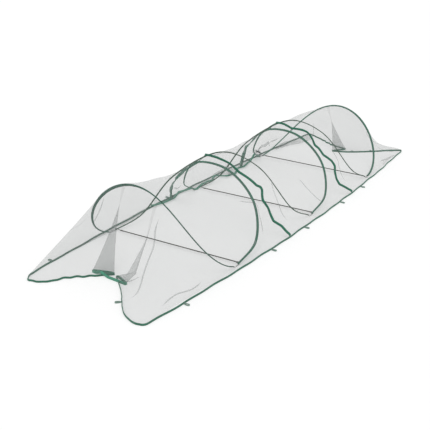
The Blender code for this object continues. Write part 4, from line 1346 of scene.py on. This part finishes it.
def add_cords(paths, cord, plastic):
    """Three cords over the ground between the two feet of each station, each with its knot and hook."""
    off = SLEEVE_RADIUS + CLEARANCE
    for name, near_path, far_path in (
        ("front", paths["low_front"], paths["high_front"][::-1]),
        ("middle", paths["low_rear"], paths["high_rear"][::-1]),
        ("rear", paths["high_rear"], paths["low_rear"][::-1]),
    ):
        near, across, _ = place_on(near_path, CORD_FROM_FOOT)
        knot = near + across * (off + KNOT_RADIUS)
        far, across, above = place_on(far_path, CORD_FROM_FOOT)
        bend = off + HOOK_RADIUS
        top = far + above * bend
        tail = top - across * HOOK_LENGTH
        turns = np.radians(np.arange(0, 91, 15))[:, None]
        arc = far + (above * np.cos(turns) + across * np.sin(turns)) * bend
        tip = arc[-1] - above * bend
        path = np.concatenate([np.linspace(tail, top, 12)[:-1], arc, np.linspace(arc[-1], tip, 4)[1:]])
        swell = 1.0 + HOOK_EYE * np.exp(-((lengths_along(path) / HOOK_EYE_REACH) ** 2))
        hook = profile_mesh("hook", path, circle(HOOK_RADIUS, 12)[None] * swell[:, None, None])
        way = unit(tail - knot)
        path = np.linspace(knot, tail - way * HOOK_RADIUS, 160)
        reach = lengths_along(path)
        bound = 1.0 + CORD_WHIPPING * smoothstep((reach - reach[-1] + CORD_WHIPPING_LENGTH) / 0.002)
        rings = circle(CORD_RADIUS * CORD_BRAID)[None] * bound[:, None, None]
        braid = profile_mesh("cord", path, rings)
        bound_end = profile_mesh("knot", knot_path(knot, way), circle(KNOT_STRAND))
        for node_name, ending, mesh, look in (
            ("cord_hook_" + name, "_shape", hook, plastic),
            ("cross_cord_" + name, "_braid", braid, cord),
            ("cord_knot_" + name, "_shape", bound_end, cord),
        ):
            add_piece(node_name + ending, mesh, look, node_name)


def knot_path(centre, way):
    """An overhand knot about as large as the CAD's, with its two ends standing out."""
    turn = np.linspace(0.35, 2 * np.pi - 0.1, 72)
    flat = np.stack([np.sin(turn) + 2 * np.sin(2 * turn), np.cos(turn) - 2 * np.cos(2 * turn)], axis=1)
    across = unit(np.cross(way, [0.0, 0.0, 1.0]))
    deep = np.cross(across, way)
    spread = (KNOT_RADIUS - KNOT_STRAND) / 3
    dip = -1.5 * np.sin(3 * turn)[:, None] * deep
    path = centre + spread * (flat[:, :1] * way + flat[:, 1:] * across + dip)
    tails = []
    for end, inner in ((path[0], path[1]), (path[-1], path[-2])):
        heading = unit(unit(end - inner) + 0.6 * way)
        tails.append(end + heading * np.linspace(0.002, KNOT_TAIL, 5)[:, None])
    strand = np.concatenate([tails[0][::-1], path, tails[1]])
    strand[:, 2] = np.maximum(strand[:, 2], KNOT_STRAND + CLEARANCE)
    return strand


def add_peg_loop(name, at, out, look):
    """A loop of tape on edge that stands off a hem, away along out."""
    out = unit(np.array([out[0], out[1], 0.0]))
    along = np.array([-out[1], out[0], 0.0])
    start, half = HEM_THICKNESS / 2, LOOP_WIDTH / 2
    reach = np.linspace(0.0, 1.0, 13)
    turns = np.radians(np.linspace(0, 180, 17))
    side = start + (LOOP_LENGTH - half) * reach
    width = half * (LOOP_PINCH + (1 - LOOP_PINCH) * smoothstep(reach * 1.4))
    leg, apart = (at + out * side[:, None])[:-1], along * width[:-1, None]
    bow = at + out * (side[-1] + half * np.sin(turns))[:, None] + along * half * np.cos(turns)[:, None]
    path = np.concatenate([leg + apart, bow, (leg - apart)[::-1]])
    thick = LOOP_TAPE / 2
    outline = [(-thick, LOOP_LOWEST), (thick, LOOP_LOWEST), (thick, LOOP_HEIGHT), (-thick, LOOP_HEIGHT)]
    mesh = profile_mesh(name, path, outline, (0.0, 0.0, 1.0), closed=True)
    add_piece(name + "_tape", mesh, look, name)


def add_loops(look):
    """Loops for ground pegs, along the hems."""
    for side_name, side, places in (("near", -1, NEAR_LOOP_X), ("far", 1, FAR_LOOP_X)):
        for number, x in enumerate(places, start=1):
            add_peg_loop(f"peg_loop_{side_name}_{number}", on_side_hem(x, side, 0.0), (0.0, side), look)
    front_hem, rear_hem = end_hems()
    for name, reach, (plan, direction) in (
        ("peg_loop_front", FRONT_LOOP_REACH, front_hem),
        ("peg_loop_rear_1", REAR_LOOP_REACH[0], rear_hem),
        ("peg_loop_rear_2", REAR_LOOP_REACH[1], rear_hem),
    ):
        along = lengths_along(plan)
        at, ahead = at_shares(plan, along, [reach, reach + LOOP_WIDTH])
        out = np.array([ahead[1] - at[1], at[0] - ahead[0]]) * direction
        line, _, _ = hem_line(plan, direction)
        ways, _, _ = from_line(np.array([at]), line)
        add_peg_loop(name, at - ways[0], out, look)


# Stage, light and camera


def add_stage():
    """A white floor that keeps the object's shadow."""
    mesh = bpy.data.meshes.new("floor")
    corners = [(x * FLOOR_HALF, y * FLOOR_HALF, 0) for x, y in ((-1, -1), (1, -1), (1, 1), (-1, 1))]
    mesh.from_pydata(corners, [], [(0, 1, 2, 3)])
    made = bpy.data.materials.new("white_floor")
    made.use_nodes = True
    tree = made.node_tree
    tree.nodes.clear()
    paint = node(tree, "ShaderNodeBsdfDiffuse", Color=(0.9, 0.9, 0.9, 1))
    glow = node(tree, "ShaderNodeEmission", Color=(1, 1, 1, 1), Strength=FLOOR_GLOW)
    shade = node(tree, "ShaderNodeBsdfDiffuse", Color=(FLOOR_SHADE, FLOOR_SHADE, FLOOR_SHADE, 1))
    white = tree.nodes.new("ShaderNodeAddShader")
    mix = node(tree, "ShaderNodeMixShader", Fac=seen_rays(tree))
    out = tree.nodes.new("ShaderNodeOutputMaterial")
    for source, target in (
        (glow.outputs["Emission"], white.inputs[0]),
        (shade.outputs["BSDF"], white.inputs[1]),
        (paint.outputs["BSDF"], mix.inputs[1]),
        (white.outputs["Shader"], mix.inputs[2]),
        (mix.outputs["Shader"], out.inputs["Surface"]),
    ):
        tree.links.new(source, target)
    add_object("floor", mesh, made, False)


def seen_rays(tree):
    """1 for rays from the camera, and for those that gloss or glass sends on."""
    path = tree.nodes.new("ShaderNodeLightPath")
    total = math_node(tree, "MAXIMUM", path.outputs["Is Camera Ray"], path.outputs["Is Glossy Ray"])
    return math_node(tree, "MAXIMUM", total, path.outputs["Is Transmission Ray"])


def add_light():
    """A pale world and one broad soft lamp from above the near side."""
    world = bpy.data.worlds.new("studio")
    bpy.context.scene.world = world
    world.use_nodes = True
    tree = world.node_tree
    seen = math_node(tree, "MULTIPLY", seen_rays(tree), 1 - WORLD_LIGHT)
    strength = math_node(tree, "ADD", seen, WORLD_LIGHT)
    set_inputs(tree.nodes["Background"], Color=(1, 1, 1, 1), Strength=strength)
    lamp = bpy.data.lights.new("key", "SUN")
    lamp.energy = 1.0
    lamp.angle = math.radians(LAMP_SPREAD_DEG)
    key = bpy.data.objects.new("key", lamp)
    key.rotation_euler = [math.radians(turn) for turn in LAMP_TURN_DEG]
    bpy.context.scene.collection.objects.link(key)


def add_camera():
    """The photograph's view."""
    a, e = math.radians(CAMERA_AZIMUTH_DEG), math.radians(CAMERA_ELEVATION_DEG)
    back = Vector((math.sin(a) * math.cos(e), -math.cos(a) * math.cos(e), math.sin(e)))
    data = bpy.data.cameras.new("camera")
    data.lens = CAMERA_LENS_MM
    data.sensor_width = 36.0
    camera = bpy.data.objects.new("camera", data)
    camera.location = CAMERA_PLACE
    camera.rotation_mode = "QUATERNION"
    camera.rotation_quaternion = (-back).to_track_quat("-Z", "Y")
    bpy.context.scene.collection.objects.link(camera)
    bpy.context.scene.camera = camera


def dress_nodes(steel):
    """A procedural material on the wires, the CAD nodes that stay in view."""
    for name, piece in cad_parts.items():
        if name.startswith("wire_"):
            for slot in piece.material_slots:
                slot.material = steel


def dress():
    """Every piece of the tunnel."""
    tapes = {name: tape_look(name, *colours) for name, colours in TAPE_COLOURS.items()}
    nets = {name: net_look(name, *values) for name, values in NET_COLOURS.items()}
    cord = cord_look()
    front = end_hoop(0, -1, FRONT_LEAN_DEG)
    rear = end_hoop(2, 1, REAR_LEAN_DEG)
    pairs = [crossing_pair(0), crossing_pair(1)]
    paths = {}
    for name, hoop, start, end in (
        ("front_hoop", front, -1, -1),
        ("rear_hoop", rear, 1, 1),
        ("low_front", pairs[0][0], 1, -1),
        ("high_front", pairs[0][1], -1, 1),
        ("low_rear", pairs[1][0], 1, -1),
        ("high_rear", pairs[1][1], -1, 1),
    ):
        paths[name] = with_foot_runs(hoop, start, end, inner=slice(2, -2))
    dress_nodes(grained_look("drawn_steel", "object", *DRAWN_STEEL))
    add_sleeves(paths, tapes["sleeve_tape"], tapes["worn_sleeve_tape"], tapes["dark_sleeve_tape"])
    grid, normals = add_bay_nets(front, rear, pairs, paths, nets["fine_net"])
    add_end_nets(front, rear, paths, nets["fine_net"], nets["fold_net_painted_shade"])
    add_hems(tapes["binding_tape"])
    add_ply(grid, tapes["far_binding_tape"])
    add_seams(grid, normals, tapes["sleeve_tape"])
    add_loops(tapes["loop_tape"])
    add_cords(paths, cord, grained_look("black_hook", "cut", *HOOK_PLASTIC))


add_camera()
add_stage()
add_light()
dress()
bpy.context.scene.view_settings.view_transform = "Standard"
